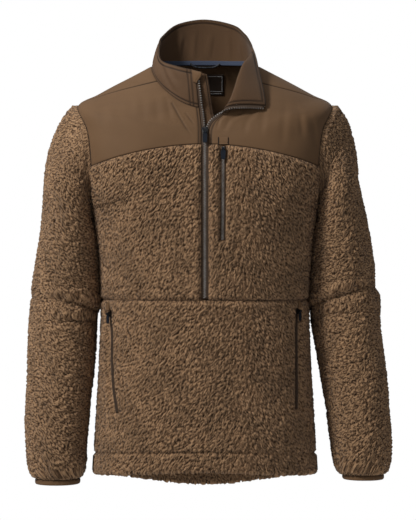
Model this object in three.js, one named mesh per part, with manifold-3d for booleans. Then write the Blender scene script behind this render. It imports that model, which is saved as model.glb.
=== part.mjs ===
// Sherpa fleece half-zip pullover, in its worn shape with nobody in it.
// Millimetres, +Z up, front towards -Y, the wearer's left towards +X.
// The origin is in the middle of the neck, level with the points where neck and shoulders meet.

import * as THREE from 'three';
import { mergeVertices } from 'three/addons/utils/BufferGeometryUtils.js';
import Module from 'manifold-3d';

const wasm = await Module();
wasm.setup();

// Cloth
const sherpaPile = 6;
const sherpaSeam = 3.6;
const pileFull = 1.14;
const hemEdge = 3.4;
const hemTurnUp = 4;
const stitchDepth = 1.5;
const shellCloth = 2;
const neckEdge = 1;
const sleeveSeam = 3;
const underarmSeam = 1.8;
const seamShare = 0.2;
const clearance = 0.3;

// Zips
const zipGap = 6;
const tapeCloth = 1.2;
const tapeWidth = 5.1;
const handSlot = 6.5;
const chestSlot = 8;
const mainSliderHeight = -111;
const zipFoot = -397;

// The body, ring by ring from the hem to the neck seam: heights at front, side and back centre,
// half width, depths in front and behind, and how square the ring is.
const body = [
  { row: 0, zFront: -690, zSide: -703, zBack: -738, half: 190, front: 127, back: 124, power: 2.45 },
  { row: 1, zFront: -657, zSide: -668, zBack: -700, half: 188, front: 127, back: 123, power: 2.45 },
  { row: 2, zFront: -590, zSide: -596, zBack: -615, half: 184, front: 125, back: 120, power: 2.45 },
  { row: 3, zFront: -510, zSide: -510, zBack: -515, half: 179, front: 122, back: 114, power: 2.4 },
  { row: 4, zFront: -400, zSide: -400, zBack: -400, half: 176, front: 119, back: 109, power: 2.4 },
  { row: 5, zFront: -320, zSide: -318, zBack: -315, half: 181, front: 121, back: 111, power: 2.45 },
  { row: 6, zFront: -262, zSide: -243, zBack: -240, half: 191, front: 121, back: 115, power: 2.6 },
  { row: 7, zFront: -222, zSide: -190, zBack: -185, half: 203, front: 119, back: 117, power: 2.8 },
  { row: 8, zFront: -185, zSide: -135, zBack: -130, half: 211, front: 115, back: 117, power: 2.9 },
  { row: 9, zFront: -158, zSide: -92, zBack: -88, half: 217, front: 110, back: 114, power: 2.8 },
  { row: 10, zFront: -136, zSide: -60, zBack: -54, half: 221, front: 105, back: 108, power: 2.6 },
  { row: 11, zFront: -118, zSide: -42, zBack: -32, half: 188, front: 100, back: 102, power: 2.45 },
  { row: 12, zFront: -102, zSide: -24, zBack: -12, half: 155, front: 94, back: 94, power: 2.35 },
  { row: 13, zFront: -86, zSide: -7, zBack: 6, half: 122, front: 88, back: 83, power: 2.25 },
  { row: 14, zFront: -70, zSide: 9, zBack: 21, half: 92, front: 82, back: 70, power: 2.1 },
];
const ringDip = 1.25;
const waistRow = 4;
const neckRow = 14;
const armhole = { turn: 90, low: 6, high: 10, reach: 18, power: 2.2, steps: 6 };
const shoulderTurn = { armhole: 90, neck: 63 };
const yokeDip = { front: -134, frontDrop: 39, back: -150, backDrop: 10, half: 206, power: 1.9 };
const openNeck = { turn: 22, fade: 56, height: -79 };

// The sleeves, from the underarm down: how far out and in they reach from the centre of the body,
// how far back their middle lies, half their depth, and how much a ring rises to the outside.
const sleeves = {
  right: {
    side: -1,
    cuff: { top: 711.8, height: 9, outer: 297, inner: 218, back: 22, deep: 46 },
    rings: [
      { drop: 226, outer: 275.5, inner: 208, back: 2, deep: 74, rise: 36 },
      { drop: 280, outer: 281.5, inner: 203, back: 5, deep: 72, rise: 10 },
      { drop: 334, outer: 291.5, inner: 199, back: 8, deep: 69, rise: 0 },
      { drop: 377, outer: 298.5, inner: 197, back: 12, deep: 66, rise: 0 },
      { drop: 398, outer: 300, inner: 195, back: 12, deep: 64, rise: 0 },
      { drop: 440, outer: 303.7, inner: 197.8, back: 10, deep: 62, rise: 0 },
      { drop: 503, outer: 305.5, inner: 199.6, back: 4, deep: 59, rise: 0 },
      { drop: 567, outer: 307, inner: 206.6, back: -4, deep: 56, rise: 0 },
      { drop: 609, outer: 309, inner: 210, back: -9, deep: 54, rise: 0 },
      { drop: 651, outer: 307, inner: 213.7, back: -15, deep: 52, rise: 0 },
      { drop: 693, outer: 302, inner: 215.4, back: -20, deep: 48, rise: 0 },
      { drop: 711.4, outer: 293, inner: 223, back: -22, deep: 42, rise: 0 },
    ],
    folds: [
      { angle: 130, spread: 55, drop: 412, lean: 0.25, width: 7, lift: -7 },
      { angle: 130, spread: 55, drop: 396, lean: 0.25, width: 9, lift: 4 },
      { angle: 120, spread: 60, drop: 424, lean: 0.1, width: 8, lift: 3 },
      { angle: 120, spread: 40, drop: 436, lean: 0, width: 6, lift: -4 },
      { angle: 15, spread: 40, drop: 397, lean: 0, width: 6, lift: -2.5 },
      { angle: 250, spread: 55, drop: 420, lean: -0.2, width: 8, lift: -5 },
    ],
    capFold: { angle: 80, spread: 45, place: 0.45, width: 0.16, lift: -2 },
  },
  left: {
    side: 1,
    cuff: { top: 704.2, height: 8.5, outer: 313, inner: 240, back: 22, deep: 43 },
    rings: [
      { drop: 226, outer: 262, inner: 208, back: 2, deep: 74, rise: 36 },
      { drop: 280, outer: 280, inner: 203, back: 5, deep: 72, rise: 10 },
      { drop: 334, outer: 291, inner: 199, back: 8, deep: 69, rise: 0 },
      { drop: 377, outer: 294, inner: 197, back: 12, deep: 66, rise: 0 },
      { drop: 398, outer: 302, inner: 195, back: 12, deep: 64, rise: 0 },
      { drop: 440, outer: 302, inner: 193.5, back: 10, deep: 62, rise: 0 },
      { drop: 503, outer: 309, inner: 205, back: 4, deep: 59, rise: 0 },
      { drop: 546, outer: 314, inner: 212, back: -2, deep: 57, rise: 0 },
      { drop: 588, outer: 316, inner: 219, back: -7, deep: 55, rise: 0 },
      { drop: 630, outer: 319.6, inner: 224, back: -12, deep: 53, rise: 0 },
      { drop: 672, outer: 319.6, inner: 229.5, back: -18, deep: 50, rise: 0 },
      { drop: 693, outer: 315, inner: 235, back: -20, deep: 46, rise: 0 },
      { drop: 703.8, outer: 310, inner: 243, back: -22, deep: 40, rise: 0 },
    ],
    folds: [
      { angle: 115, spread: 60, drop: 397, lean: 0.31, width: 7, lift: -7 },
      { angle: 115, spread: 60, drop: 383, lean: 0.31, width: 8, lift: 4 },
      { angle: 110, spread: 50, drop: 424, lean: 0.1, width: 8, lift: -3 },
      { angle: 250, spread: 55, drop: 412, lean: -0.25, width: 8, lift: -5 },
      { angle: 10, spread: 40, drop: 380, lean: 0, width: 6, lift: -2.5 },
    ],
    capFold: { angle: 85, spread: 50, place: 0.45, width: 0.16, lift: -6 },
  },
};
const capPlaces = [0, 0.08, 0.22, 0.42, 0.68];
const sleeveDrops = [226, 262, 307, 345, 372, 385, 395, 405, 415, 426, 440, 470, 520, 575, 630, 680];

// The collar, station by station round the neck from the wearer's right front edge: the angle, the top
// edge, and the point that the cloth bends towards on its way up, which rolls the left side open.
const collar = [
  { angle: 7, x: -17, y: -95, z: -6, midX: -12, midY: -94, midZ: -38 },
  { angle: 30, x: -48, y: -76, z: 3, midX: -47, midY: -79, midZ: -28 },
  { angle: 60, x: -77, y: -34, z: 19, midX: -86, midY: -44, midZ: -3 },
  { angle: 90, x: -79.5, y: 16, z: 54, midX: -90, midY: 8, midZ: 31 },
  { angle: 120, x: -73, y: 38, z: 70, midX: -79, midY: 43, midZ: 41 },
  { angle: 150, x: -48, y: 64, z: 92, midX: -47, midY: 70, midZ: 54 },
  { angle: 180, x: 0, y: 72, z: 101, midX: 0, midY: 75, midZ: 60 },
  { angle: 210, x: 50, y: 57, z: 89.5, midX: 46, midY: 67, midZ: 52 },
  { angle: 240, x: 70.5, y: 34, z: 71, midX: 77, midY: 40, midZ: 41 },
  { angle: 258, x: 79.5, y: 12, z: 54, midX: 83, midY: 8, midZ: 40 },
  { angle: 270, x: 84.5, y: -4, z: 40, midX: 80, midY: -12, midZ: 38 },
  { angle: 282, x: 89.5, y: -22, z: 22, midX: 66, midY: -40, midZ: 32 },
  { angle: 295, x: 93.5, y: -42, z: 0, midX: 44, midY: -70, midZ: 21 },
  { angle: 315, x: 99.5, y: -66, z: -30, midX: 26, midY: -106, midZ: -31 },
  { angle: 330, x: 103.5, y: -81, z: -54, midX: 22, midY: -112, midZ: -52 },
  { angle: 338, x: 104.5, y: -86, z: -66, midX: 22, midY: -112, midZ: -61 },
];
const collarFoot = 2.3;
const collarShellCloth = 1.5;
const liningInner = 2;
const liningOuter = 0.6;

const colours = {
  sherpa: 0x7d6247,
  shell: 0x6b513a,
  lining: 0x6f543c,
  tape: 0x4f4039,
  trim: 0x1f2a38,
  slider: 0x2b3a52,
  neckTape: 0x4a5266,
  label: 0x2a231e,
};
const finishes = {
  sherpa: { color: colours.sherpa, roughness: 0.95, metalness: 0 },
  shell: { color: colours.shell, roughness: 0.7, metalness: 0 },
  lining: { color: colours.lining, roughness: 0.9, metalness: 0 },
  tape: { color: colours.tape, roughness: 0.8, metalness: 0 },
  trim: { color: colours.trim, roughness: 0.6, metalness: 0 },
  slider: { color: colours.slider, roughness: 0.3, metalness: 0.6 },
  neckTape: { color: colours.neckTape, roughness: 0.8, metalness: 0 },
  label: { color: colours.label, roughness: 0.8, metalness: 0 },
};

const rad = THREE.MathUtils.degToRad;
const deg = THREE.MathUtils.radToDeg;
const lerp = THREE.MathUtils.lerp;
const vector = (x, y, z) => new THREE.Vector3(x, y, z);
const rounded = (value, power) => Math.sign(value) * Math.abs(value) ** (2 / power);
const bell = (distance) => Math.exp(-distance * distance);
const moved = (point, direction, distance) => point.clone().addScaledVector(direction, distance);

const heights = (from, to, steps) => Array.from({ length: steps + 1 }, (_, k) => lerp(from, to, k / steps));

// A smooth curve through one column of a table, read at any place along its key column.
function read(table, key, column, at) {
  const last = table.length - 1;
  let i = 0;
  while (i < last - 1 && table[i + 1][key] <= at) i += 1;
  const slope = (k) => {
    const before = table[Math.max(k - 1, 0)];
    const after = table[Math.min(k + 1, last)];
    return (after[column] - before[column]) / (after[key] - before[key]);
  };
  const from = table[i];
  const to = table[i + 1];
  const span = to[key] - from[key];
  const t = (at - from[key]) / span;
  const t2 = t * t;
  const t3 = t2 * t;
  return (2 * t3 - 3 * t2 + 1) * from[column] + (t3 - 2 * t2 + t) * span * slope(i)
    + (3 * t2 - 2 * t3) * to[column] + (t3 - t2) * span * slope(i + 1);
}

// Where a falling or rising function crosses nought between two places.
function crossing(from, to, height) {
  let low = from;
  let high = to;
  const rising = height(high) > height(low);
  for (let step = 0; step < 40; step += 1) {
    const middle = (low + high) / 2;
    if ((height(middle) > 0) === rising) high = middle;
    else low = middle;
  }
  return (low + high) / 2;
}

// The inner face of the body's cloth. Turn is in degrees from the front centre towards the wearer's left.
function bodyPoint(turn, row) {
  const across = Math.sin(rad(turn));
  const ahead = Math.cos(rad(turn));
  const front = ahead >= 0;
  const half = read(body, 'row', 'half', row);
  const depth = read(body, 'row', front ? 'front' : 'back', row);
  const power = read(body, 'row', 'power', row);
  const reach = (Math.abs(across / half) ** power + Math.abs(ahead / depth) ** power) ** (-1 / power);
  const side = read(body, 'row', 'zSide', row);
  const centre = read(body, 'row', front ? 'zFront' : 'zBack', row);
  return vector(reach * across, -reach * ahead, lerp(side, centre, Math.abs(ahead) ** ringDip));
}

function bodyFrame(turn, row) {
  const point = bodyPoint(turn, row);
  const across = bodyPoint(turn + 0.5, row).sub(bodyPoint(turn - 0.5, row)).normalize();
  const up = bodyPoint(turn, row + 0.02).sub(bodyPoint(turn, row - 0.02)).normalize();
  const out = across.clone().cross(up).normalize();
  return { point, across, up: out.clone().cross(across), out };
}

function rowAt(turn, height) {
  return crossing(-0.5, 14.5, (row) => bodyPoint(turn, row).z - height);
}

function turnAt(x, row) {
  let turn = 0;
  for (let step = 0; step < 12; step += 1) turn = deg(Math.atan2(x, -bodyPoint(turn, row).y));
  return turn;
}

// The frame on the front of the body at a place given as seen from the front.
function frontFrame(x, height) {
  let turn = 0;
  let row = 5;
  for (let step = 0; step < 12; step += 1) {
    row = rowAt(turn, height);
    turn = turnAt(x, row);
  }
  return bodyFrame(turn, row);
}

function armholeSpot(angle, scale = 1) {
  const middle = (armhole.low + armhole.high) / 2;
  const halfRows = (armhole.high - armhole.low) / 2;
  return {
    turn: armhole.turn - armhole.reach * scale * rounded(Math.sin(rad(angle)), armhole.power),
    row: middle + halfRows * scale * rounded(Math.cos(rad(angle)), armhole.power),
  };
}

// How far a spot lies from the nearer armhole's middle, as a share of its rim's distance.
function armholeScale(turn, row) {
  const middle = (armhole.low + armhole.high) / 2;
  const aside = (turn > 180 ? 270 : armhole.turn * Math.sign(turn)) - turn;
  const across = Math.abs(aside) / armhole.reach;
  const along = Math.abs(row - middle) / (armhole.high - middle);
  return (across ** armhole.power + along ** armhole.power) ** (1 / armhole.power);
}

const yokeFall = (x) => (Math.abs(x) / yokeDip.half) ** yokeDip.power;
const frontSeamHeight = (x) => yokeDip.front - yokeDip.frontDrop * yokeFall(x);
const backSeamHeight = (x) => yokeDip.back - yokeDip.backDrop * yokeFall(x);

function seamAngle(from, to, seamHeight) {
  return crossing(from, to, (angle) => {
    const { turn, row } = armholeSpot(angle);
    const point = bodyPoint(turn, row);
    return point.z - seamHeight(point.x);
  });
}

function yokeRow(turn, seamHeight) {
  return crossing(5, 13, (row) => {
    const point = bodyPoint(turn, row);
    return point.z - seamHeight(point.x);
  });
}

const frontSeamRow = (turn) => yokeRow(turn, frontSeamHeight);
const backSeamRow = (turn) => yokeRow(turn, backSeamHeight);

// The neck seam sags on the wearer's left, where the zip hangs open.
const openNeckRow = rowAt(openNeck.turn, openNeck.height);
function leftNeckRow(turn) {
  const fade = THREE.MathUtils.smoothstep(openNeck.fade - turn, 0, openNeck.fade - openNeck.turn);
  return lerp(neckRow, openNeckRow, fade);
}

// The armhole's shared corners: top, front yoke seam, underarm, back yoke seam and back to the top.
const armholeCorners = [
  0, seamAngle(10, 175, frontSeamHeight), 180, seamAngle(185, 350, backSeamHeight), 360,
];
const armholeAngles = [];
for (let quarter = 0; quarter < 4; quarter += 1) {
  for (let step = 0; step < armhole.steps; step += 1) {
    armholeAngles.push(lerp(armholeCorners[quarter], armholeCorners[quarter + 1], step / armhole.steps));
  }
}
armholeAngles.push(360);
const nearSeam = 0.6;
const armholeSide = (from, to) => {
  const step = Math.sign(to - from);
  const spots = [];
  for (let k = from; k !== to + step; k += step) spots.push(armholeSpot(armholeAngles[k]));
  return spots;
};

// The same closed wall serves every piece of cloth: inner and outer points, row by row.
function wall(grid, around = false) {
  const rows = grid.length;
  const columns = grid[0].length;
  const positions = [];
  grid.forEach((line) => line.forEach(({ inner, outer }) => {
    positions.push(outer.x, outer.y, outer.z, inner.x, inner.y, inner.z);
  }));
  const outer = (j, i) => 2 * (j * columns + (i % columns));
  const inner = (j, i) => outer(j, i) + 1;
  const index = [];
  const quad = (a, b, c, d) => index.push(a, b, c, a, c, d);
  const cells = around ? columns : columns - 1;
  for (let j = 0; j + 1 < rows; j += 1) {
    for (let i = 0; i < cells; i += 1) {
      quad(outer(j, i), outer(j, i + 1), outer(j + 1, i + 1), outer(j + 1, i));
      quad(inner(j, i), inner(j + 1, i), inner(j + 1, i + 1), inner(j, i + 1));
    }
    if (!around) {
      const last = columns - 1;
      quad(inner(j, 0), outer(j, 0), outer(j + 1, 0), inner(j + 1, 0));
      quad(outer(j, last), inner(j, last), inner(j + 1, last), outer(j + 1, last));
    }
  }
  for (let i = 0; i < cells; i += 1) {
    const top = rows - 1;
    quad(inner(0, i), inner(0, i + 1), outer(0, i + 1), outer(0, i));
    quad(outer(top, i), outer(top, i + 1), inner(top, i + 1), inner(top, i));
  }
  const geometry = new THREE.BufferGeometry();
  geometry.setAttribute('position', new THREE.Float32BufferAttribute(positions, 3));
  geometry.setIndex(index);
  geometry.computeVertexNormals();
  return geometry;
}

// The two faces of the cloth at a frame, at distances out of it.
function faces({ point, out }, low, high) {
  return { inner: moved(point, out, low), outer: moved(point, out, high) };
}

// Pulls a piece's edges back from its neighbours, square to each edge, by the seam's share of the gap.
function drawnIn(frames) {
  const rows = frames.length - 1;
  const columns = frames[0].length - 1;
  const clamped = (k, last) => Math.min(Math.max(k, 0), last);
  return frames.map((line, j) => line.map((frame, i) => {
    const point = frame.point.clone();
    const upEdge = frames[clamped(j + 1, rows)][i].point.clone().sub(frames[clamped(j - 1, rows)][i].point);
    const alongEdge = line[clamped(i + 1, columns)].point.clone().sub(line[clamped(i - 1, columns)].point);
    const sideways = upEdge.cross(frame.out).normalize();
    const upwards = frame.out.clone().cross(alongEdge).normalize();
    if (i === 0) point.addScaledVector(sideways, seamShare);
    if (i === columns) point.addScaledVector(sideways, -seamShare);
    if (j === 0) point.addScaledVector(upwards, seamShare);
    if (j === rows) point.addScaledVector(upwards, -seamShare);
    return { ...frame, point };
  }));
}

// One cut piece of the body. Shares say where its columns lie between the two edges, each a list of
// spots from the bottom up, and low and high are its lower and upper seams.
function cutPiece({ shares, edge, edgeTurn, farTurn, low, high, layers }) {
  const frames = edge.map((spot, j) => {
    const level = (spot.row - low(spot.turn)) / (high(spot.turn) - low(spot.turn));
    return shares.map((share) => {
      const turn = lerp(farTurn(level, spot), edgeTurn(spot), share);
      const row = lerp(low(turn), high(turn), level);
      return { ...bodyFrame(turn, row), fromArmhole: armholeScale(turn, row) };
    });
  });
  return drawnIn(frames).map((line, j) => line.map((frame, i) => {
    const { inner, outer } = layers(i, j, edge[j], frame);
    return faces(frame, inner, outer);
  }));
}

const mirrored = (grid) => grid.map((line) => line.map(({ inner, outer }) => ({
  inner: vector(-inner.x, inner.y, inner.z),
  outer: vector(-outer.x, outer.y, outer.z),
})).reverse());

// Levels of the side seam, close together at the hem's stitching and beside the waist seam.
const stitchRow = 1;
const turnUpRow = 0.93;
const lowerLevels = [0, 0.1, turnUpRow, stitchRow, 1.07, 2, 3, 3.91, waistRow];
const upperLevels = [waistRow, 4.1, 4.7, 5.35, armhole.low];
const shoulderLevels = [11, 12, 13, neckRow];
const frontShares = [0, 0.035, 0.13, 0.25, 0.37, 0.5, 0.62, 0.74, 0.86, 0.97, 1];
const backShares = [
  0, 0.015, 0.07, 0.14, 0.22, 0.31, 0.4, 0.5, 0.6, 0.69, 0.78, 0.86, 0.93, 0.985, 1,
];
const yokeBackShares = Array.from({ length: 17 }, (_, k) => k / 16);
const sideSpots = (levels) => levels.map((row) => ({ turn: 90, row }));
const shoulderSpots = shoulderLevels.map((row) => ({
  turn: lerp(shoulderTurn.armhole, shoulderTurn.neck, (row - armhole.high) / (neckRow - armhole.high)),
  row,
}));
const underSeam = (seamIndex, besideIndex) => armholeSpot(
  lerp(armholeAngles[besideIndex], armholeAngles[seamIndex], nearSeam),
);
const backSeamIndex = 3 * armhole.steps;
const underarmIndex = 2 * armhole.steps;
const frontSeamIndex = armhole.steps;

function sherpaLayers(lastColumn, lastRow, edges) {
  return (i, j, spot, frame) => {
    const besideSeam = (edges.first && i === 0) || (edges.last && i === lastColumn)
      || (edges.bottom && j === 0) || j === lastRow;
    const besideArmhole = THREE.MathUtils.smoothstep(frame.fromArmhole, 1, pileFull);
    let outer = besideSeam ? sherpaSeam : lerp(sherpaSeam, sherpaPile, besideArmhole);
    let inner = 0;
    if (edges.hem) {
      if (spot.row === 0) outer = hemEdge;
      if (spot.row === stitchRow && !besideSeam) outer = sherpaPile - stitchDepth;
      if (spot.row === 0) inner = -1;
      else if (spot.row <= turnUpRow) inner = -hemTurnUp;
    }
    return { inner, outer };
  };
}
const shellLayers = (i, j, spot) => ({ inner: 0, outer: spot.row === neckRow ? neckEdge : shellCloth });

// Front pieces
const zipTurn = turnAt(zipGap, waistRow);
const outerTurns = frontShares.map((share) => lerp(zipTurn, 90, share));
const lowerTurns = [...outerTurns.map((turn) => -turn).reverse(), ...outerTurns];

function frontLower() {
  const shares = lowerTurns.map((turn) => (turn + 90) / 180);
  const edge = sideSpots(lowerLevels);
  return cutPiece({
    shares,
    edge,
    edgeTurn: (spot) => spot.turn,
    farTurn: () => -90,
    low: () => 0,
    high: () => waistRow,
    layers: sherpaLayers(shares.length - 1, edge.length - 1, { first: true, last: true, hem: true }),
  });
}

function zipEdgeTurn(low, high) {
  return (level) => {
    const row = lerp(low(0), high(0), level);
    return turnAt(zipGap, row);
  };
}

function frontUpper() {
  const edge = [
    ...sideSpots(upperLevels),
    ...armholeSide(underarmIndex - 1, frontSeamIndex + 1),
    underSeam(frontSeamIndex, frontSeamIndex + 1),
    armholeSpot(armholeAngles[frontSeamIndex]),
  ];
  const low = () => waistRow;
  return cutPiece({
    shares: frontShares,
    edge,
    edgeTurn: (spot) => spot.turn,
    farTurn: zipEdgeTurn(low, frontSeamRow),
    low,
    high: frontSeamRow,
    layers: sherpaLayers(frontShares.length - 1, edge.length - 1, { first: true, last: true, bottom: true }),
  });
}

// The yoke's front edges leave the zip above the slider: the right one a little, the left one far.
const rightOpening = [
  { height: -135, x: 6 },
  { height: -104, x: 6 },
  { height: -86, x: 7.5 },
  { height: -66, x: 10 },
];
const leftOpening = [
  { height: -135, x: 6 },
  { height: -112, x: 6.4 },
  { height: -100, x: 10.4 },
  { height: -93, x: 15.5 },
  { height: -86.5, x: 24 },
  { height: -79, x: 34 },
];

function openingTurn(opening, low, high, level) {
  let turn = 3;
  for (let step = 0; step < 30; step += 1) {
    const row = lerp(low(turn), high(turn), level);
    const height = Math.min(bodyPoint(turn, row).z, opening.at(-1).height);
    turn = lerp(turn, turnAt(read(opening, 'height', 'x', height), row), 0.6);
  }
  return turn;
}

function yokeFront(opening, high) {
  const edge = [...armholeSide(frontSeamIndex, 0), ...shoulderSpots];
  return cutPiece({
    shares: frontShares,
    edge,
    edgeTurn: (spot) => spot.turn,
    farTurn: (level) => openingTurn(opening, frontSeamRow, high, level),
    low: frontSeamRow,
    high,
    layers: shellLayers,
  });
}

// Back pieces
function backBody() {
  const edge = [
    ...sideSpots(lowerLevels),
    ...sideSpots(upperLevels.slice(2)),
    ...armholeSide(underarmIndex + 1, backSeamIndex - 1),
    underSeam(backSeamIndex, backSeamIndex - 1),
    armholeSpot(armholeAngles[backSeamIndex]),
  ];
  return cutPiece({
    shares: backShares,
    edge,
    edgeTurn: (spot) => 360 - spot.turn,
    farTurn: (level, spot) => spot.turn,
    low: () => 0,
    high: backSeamRow,
    layers: sherpaLayers(backShares.length - 1, edge.length - 1, { first: true, last: true, hem: true }),
  });
}

function yokeBack() {
  const edge = [...armholeSide(backSeamIndex, 4 * armhole.steps), ...shoulderSpots];
  return cutPiece({
    shares: yokeBackShares,
    edge,
    edgeTurn: (spot) => 360 - spot.turn,
    farTurn: (level, spot) => spot.turn,
    low: backSeamRow,
    high: () => neckRow,
    layers: shellLayers,
  });
}

// Sleeves
function sleeveRing(arm, drop, angle) {
  const outer = read(arm.rings, 'drop', 'outer', drop);
  const inner = read(arm.rings, 'drop', 'inner', drop);
  const across = rounded(Math.cos(rad(angle)), armhole.power);
  const ahead = rounded(Math.sin(rad(angle)), armhole.power);
  return vector(
    (outer + inner) / 2 + (outer - inner) / 2 * across,
    read(arm.rings, 'drop', 'back', drop) - read(arm.rings, 'drop', 'deep', drop) * ahead,
    -drop + read(arm.rings, 'drop', 'rise', drop) * Math.cos(rad(angle)),
  );
}

// The sleeve head leaves the armhole in line with the body and bends down into the arm.
const capLead = 1.3;
const capReach = { front: 50, top: 80, under: 0 };
const armReach = { front: 75, top: 15, under: -15 };
function capPoint(arm, place, armholeAngle, ringAngle) {
  const edge = armholeSpot(armholeAngle);
  const beside = armholeSpot(armholeAngle, capLead);
  const start = bodyPoint(edge.turn, edge.row);
  const away = start.clone().sub(bodyPoint(beside.turn, beside.row)).normalize();
  start.addScaledVector(away, seamShare);
  const end = sleeveRing(arm, arm.rings[0].drop, ringAngle);
  const top = Math.max(Math.cos(rad(armholeAngle)), 0) ** 1.5;
  const under = Math.max(-Math.cos(rad(armholeAngle)), 0) ** 1.5;
  const leave = capReach.front + capReach.top * top + capReach.under * under;
  const arrive = armReach.front + armReach.top * top + armReach.under * under;
  const t = place;
  const point = start.multiplyScalar(2 * t ** 3 - 3 * t ** 2 + 1);
  point.addScaledVector(away, leave * (t ** 3 - 2 * t ** 2 + t));
  point.addScaledVector(end, 3 * t ** 2 - 2 * t ** 3);
  point.z -= arrive * (t ** 3 - t ** 2);
  return point;
}

function turnGap(a, b) {
  return Math.abs(((a - b + 540) % 360) - 180);
}

function gridNormal(points, j, k) {
  const columns = points[0].length;
  const ahead = points[j][(k + 1) % columns];
  const behind = points[j][(k + columns - 1) % columns];
  const below = points[Math.min(j + 1, points.length - 1)][k];
  const above = points[Math.max(j - 1, 0)][k];
  return ahead.clone().sub(behind).cross(below.clone().sub(above)).normalize();
}

function sleeve(arm) {
  const angles = armholeAngles.slice(0, -1);
  const ringAngles = angles.map((_, k) => k * 360 / angles.length);
  const lastDrop = arm.rings.at(-1).drop;
  const drops = [...sleeveDrops.filter((drop) => drop < lastDrop - 3), lastDrop];
  const smooth = [
    ...capPlaces.map((place) => angles.map((angle, k) => capPoint(arm, place, angle, ringAngles[k]))),
    ...drops.map((drop) => ringAngles.map((angle) => sleeveRing(arm, drop, angle))),
  ];
  const folded = smooth.map((line, j) => line.map((point, k) => {
    const cap = j < capPlaces.length;
    let lift = 0;
    if (cap) {
      const fold = arm.capFold;
      lift += fold.lift * bell(turnGap(ringAngles[k], fold.angle) / fold.spread)
        * bell((capPlaces[j] - fold.place) / fold.width);
    } else {
      arm.folds.forEach((fold) => {
        const drift = fold.lean * (ringAngles[k] - fold.angle);
        lift += fold.lift * bell(turnGap(ringAngles[k], fold.angle) / fold.spread)
          * bell((drops[j - capPlaces.length] - fold.drop - drift) / fold.width);
      });
    }
    return moved(point, gridNormal(smooth, j, k), lift);
  }));
  const last = folded.length - 1;
  const cloth = (j, angle) => {
    if (j === last) return sleeveSeam;
    const under = Math.sqrt(Math.max(-Math.cos(rad(angle)), 0));
    const thickening = THREE.MathUtils.smoothstep(j, 0, lerp(2, capPlaces.length, under));
    return lerp(lerp(sleeveSeam, underarmSeam, under), sherpaPile, thickening);
  };
  return folded.map((line, j) => line.map((point, k) => {
    let normal = gridNormal(folded, j, k);
    if (j === 0) {
      const spot = armholeSpot(angles[k]);
      normal = bodyFrame(spot.turn, spot.row).out;
    }
    if (j === last) normal = normal.setZ(0).normalize();
    return { inner: point, outer: moved(point, normal, cloth(j, angles[k])) };
  }));
}

function cuffBinding(arm) {
  const { top, height, outer, inner, back, deep } = arm.cuff;
  const levels = [0, 0.15, 0.85, 1];
  const steps = 24;
  return levels.map((level) => Array.from({ length: steps }, (_, k) => {
    const angle = rad(k * 360 / steps);
    const place = (tuck) => vector(
      (outer + inner) / 2 + ((outer - inner) / 2 - tuck) * rounded(Math.cos(angle), armhole.power),
      -back - (deep - tuck) * rounded(Math.sin(angle), armhole.power),
      -top - height * level,
    );
    const edge = level === 0 || level === 1 ? 0.5 : 0;
    return { inner: place(shellCloth), outer: place(edge) };
  }));
}

// Collar
function collarPoint(angle, height) {
  const turn = -angle + (angle > 180 ? 360 : 0);
  const row = turn > 0 && turn < openNeck.fade ? leftNeckRow(turn) : neckRow;
  const foot = bodyPoint(turn, row);
  const middle = vector(...['midX', 'midY', 'midZ'].map((column) => read(collar, 'angle', column, angle)));
  const top = vector(...['x', 'y', 'z'].map((column) => read(collar, 'angle', column, angle)));
  const rise = 1 - height;
  return foot.multiplyScalar(rise * rise).addScaledVector(middle, 2 * rise * height)
    .addScaledVector(top, height * height);
}

function collarFrame(angle, height) {
  const point = collarPoint(angle, height);
  const across = collarPoint(angle - 0.5, height).sub(collarPoint(angle + 0.5, height)).normalize();
  const up = collarPoint(angle, height + 0.01).sub(collarPoint(angle, height - 0.01)).normalize();
  const out = across.clone().cross(up).normalize();
  return { point, across, up: out.clone().cross(across), out };
}

function collarHeightAbove(angle, distance) {
  return distance / collarPoint(angle, 0.04).distanceTo(collarPoint(angle, 0)) * 0.04;
}

const collarEnds = { right: collar[0].angle, left: collar.at(-1).angle };
const collarRoll = 262;
const collarRollSteps = 14;
const collarSteps = 21;
const collarLevels = [0, 0.22, 0.45, 0.7, 1];
// Angles fall along a row, because they run the other way round from the body's turns.
const collarAngles = [
  ...heights(collarEnds.left, collarRoll, collarRollSteps),
  ...heights(collarRoll, collarEnds.right, collarSteps).slice(1),
];

function collarWall(angles, levels, inner, outer) {
  return levels.map((level) => angles.map((angle) => {
    const height = lerp(collarHeightAbove(angle, collarFoot), 1, level);
    return faces(collarFrame(angle, height), inner, outer);
  }));
}

// A narrow strip along a line of frames: from and to are distances across, low and high out of the cloth.
function strip(frames, from, to, low, high) {
  return frames.map(({ point, across, out }) => [from, to].map((distance) => {
    const spot = moved(point, across, distance);
    return faces({ point: spot, out }, low, high);
  }));
}

// Frames along a line on the front whose across direction lies square to the line.
function alongLine(places) {
  const frames = places.map(({ x, z }) => frontFrame(x, z));
  return frames.map((frame, k) => {
    const before = frames[Math.max(k - 1, 0)].point;
    const after = frames[Math.min(k + 1, frames.length - 1)].point;
    const along = after.clone().sub(before).normalize();
    const across = along.clone().cross(frame.out).normalize();
    return { point: frame.point, across, up: along, out: frame.out };
  });
}

// Manifold solids
function toManifold(geometry) {
  const bare = geometry.clone();
  bare.deleteAttribute('normal');
  bare.deleteAttribute('uv');
  const merged = mergeVertices(bare, 1e-4);
  return new wasm.Manifold(new wasm.Mesh({
    numProp: 3,
    vertProperties: merged.attributes.position.array,
    triVerts: new Uint32Array(merged.index.array),
  }));
}

function toGeometry(solid) {
  const mesh = solid.getMesh();
  const geometry = new THREE.BufferGeometry();
  geometry.setAttribute('position', new THREE.Float32BufferAttribute(mesh.vertProperties, 3));
  geometry.setIndex([...mesh.triVerts]);
  geometry.computeVertexNormals();
  return geometry;
}

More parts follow.
